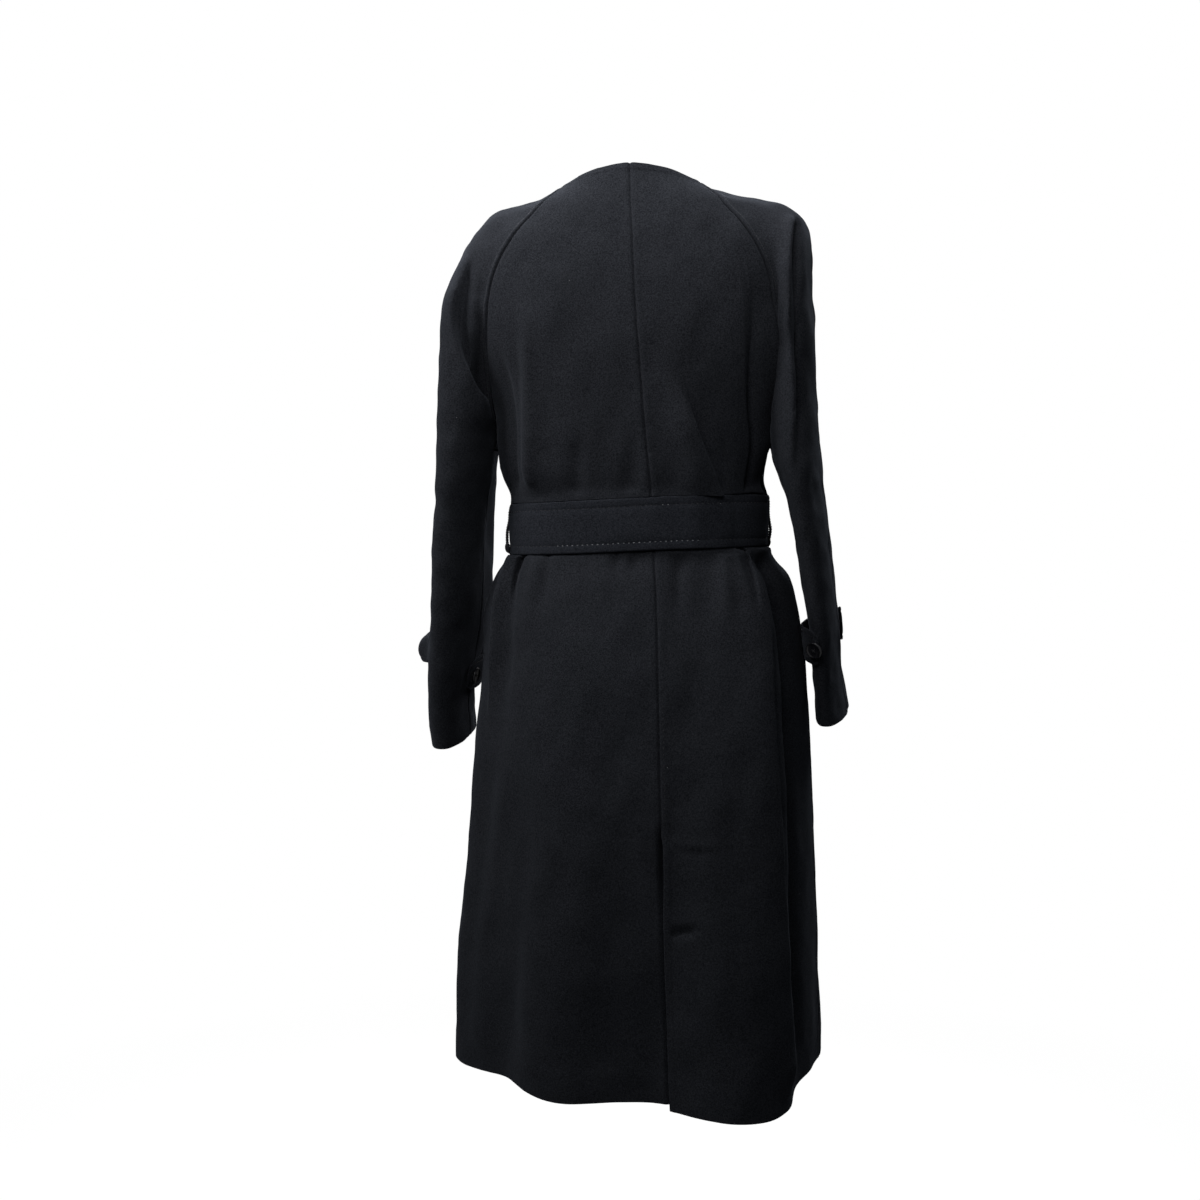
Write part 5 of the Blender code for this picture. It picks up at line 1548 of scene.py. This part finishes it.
def make_camera():
    data = bpy.data.cameras.new("camera")
    data.lens, data.sensor_width = LENS, SENSOR
    data.clip_start = CLIP_START
    turn = math.radians(VIEW_AZIMUTH)
    ahead = np.array([-math.sin(turn), math.cos(turn), 0.0])
    beside = np.array([ahead[1], -ahead[0], 0.0])
    middle = np.array([0.0, 0.0, EYE_Z])
    target = middle - beside * AIM_ASIDE - (0.0, 0.0, AIM_BELOW)
    bpy.context.scene.camera = aimed("camera", data, middle - ahead * VIEW_DISTANCE, target)


def make_lamps():
    for name, place, target, size, watts in LAMPS:
        data = bpy.data.lights.new(name, "AREA")
        data.shape, data.size, data.size_y = "RECTANGLE", *size
        data.energy = watts
        aimed(name, data, place, target)


def seen_directly(tree):
    """1 for what the camera sees directly, in a reflection or through glass."""
    rays = node(tree, "ShaderNodeLightPath").outputs
    seen = math_node(tree, "MAXIMUM", rays["Is Camera Ray"], rays["Is Glossy Ray"])
    return math_node(tree, "MAXIMUM", seen, rays["Is Transmission Ray"])


def make_world():
    """A weak bluish sky, which the camera sees as plain white."""
    world = bpy.data.worlds.new("world")
    bpy.context.scene.world = world
    world.use_nodes = True
    tree = world.node_tree
    sky = tree.nodes["Background"]
    sky.inputs["Color"].default_value = SKY
    sky.inputs["Strength"].default_value = SKY_STRENGTH
    white = node(tree, "ShaderNodeBackground", {"Color": WHITE, "Strength": 1.0})
    mix = {0: seen_directly(tree), 1: sky.outputs[0], 2: white.outputs[0]}
    mixed = node(tree, "ShaderNodeMixShader", mix).outputs[0]
    tree.links.new(mixed, tree.nodes["World Output"].inputs["Surface"])


def near_the_coat(tree):
    """How much of the floor's shadow shows, by distance from under the coat."""
    place = node(tree, "ShaderNodeTexCoord").outputs["Object"]
    level = node(tree, "ShaderNodeVectorMath", {0: place, 1: (1.0, 1.0, 0.0)}, operation="MULTIPLY")
    out = node(tree, "ShaderNodeVectorMath", {0: level.outputs[0]}, operation="LENGTH").outputs["Value"]
    spread = {"Value": out, 1: SHADOW_FULL_TO, 2: SHADOW_GONE_AT, 3: SHADOW_SHARE, 4: 0.0}
    return node(tree, "ShaderNodeMapRange", spread).outputs[0]


def make_floor():
    """A white floor that keeps a soft shadow near the coat and fades to plain white further out."""
    data = bpy.data.meshes.new("floor")
    ways = ((-1, -1), (1, -1), (1, 1), (-1, 1))
    data.from_pydata([(x * FLOOR_HALF, y * FLOOR_HALF, FLOOR_Z) for x, y in ways], [], [(0, 1, 2, 3)])
    floor = bpy.data.objects.new("floor", data)
    bpy.context.scene.collection.objects.link(floor)
    material = bpy.data.materials.new("white_floor")
    material.use_nodes = True
    tree = material.node_tree
    tree.nodes.remove(tree.nodes["Principled BSDF"])
    white = node(tree, "ShaderNodeEmission", {"Color": WHITE, "Strength": 1.0}).outputs[0]
    lit = node(tree, "ShaderNodeBsdfDiffuse", {"Color": WHITE}).outputs[0]
    looks = node(tree, "ShaderNodeMixShader", {0: near_the_coat(tree), 1: white, 2: lit}).outputs[0]
    bounce = node(tree, "ShaderNodeBsdfDiffuse", {"Color": FLOOR_BOUNCE}).outputs[0]
    mixed = node(tree, "ShaderNodeMixShader", {0: seen_directly(tree), 1: bounce, 2: looks}).outputs[0]
    tree.links.new(mixed, tree.nodes["Material Output"].inputs["Surface"])
    data.materials.append(material)


# ---------------------------------------------------------------- the coat
make_camera()
wool = wool_material("black_milled_wool", (0.0075, 0.0082, 0.0100), (0.0235, 0.0250, 0.0295))
belt_wool = wool_material("black_milled_wool_belt", (0.0085, 0.0095, 0.0120), (0.0255, 0.0275, 0.0335))
horn = button_material()
thread = thread_material("black_sewing_thread", (0.010, 0.010, 0.012), (0.034, 0.034, 0.038))
loop_thread = thread_material("black_loop_thread", (0.008, 0.008, 0.010), (0.026, 0.026, 0.030))
# pale thread for the painted highlight on part of the belt's stitches
highlight_thread = thread_material("painted_highlight_thread", (0.045, 0.047, 0.052), (0.190, 0.195, 0.210))

back_right, back_face, back_normals = panel("back_right", RIGHT, back_turns, vent_lift, "vent", "sewn", wool)
back_left, _, _ = panel("back_left", LEFT, back_turns, underlap_sink, "underlap", "sewn", wool)
front_right, _, _ = panel("front_right", RIGHT, front_turns, plain_sink, "sewn", "free", wool)
front_left, _, _ = panel("front_left", LEFT, front_turns, fronts_sink, "sewn", "free", wool)

# A short row of stitches holds the seam allowance above the vent.
column = np.argmin(np.abs(EDGE_STEPS - BACK_STITCH_IN))
above_vent = back_face[:, column, 2] - VENT_TOP_Z
held = (above_vent > 0.004) & (above_vent < 0.150)
stitches("back_seam_stitches", [(back_face[held, column], back_normals[held, column])], "back seam", thread)

belt = make_belt(belt_wool, thread, highlight_thread)
keeper = make_keeper(belt_wool)

for side, word in ((RIGHT, "right"), (LEFT, "left")):
    sleeve = Sleeve(side)
    halves = [sleeve_half(sleeve, half, word, wool) for half in ("back", "front")]
    runs = [(points[2:-2], normals[2:-2]) for _, points, normals in halves]
    stitches(f"raglan_{word}_stitches", runs, "raglan", thread)
    sleeve_map = SleeveMap(sleeve)
    strap = make_strap(side, word, sleeve_map, wool, thread)
    make_button(side, word, sleeve_map, horn, thread)
    make_loop(side, word, loop_thread)

make_lamps()
make_world()
make_floor()
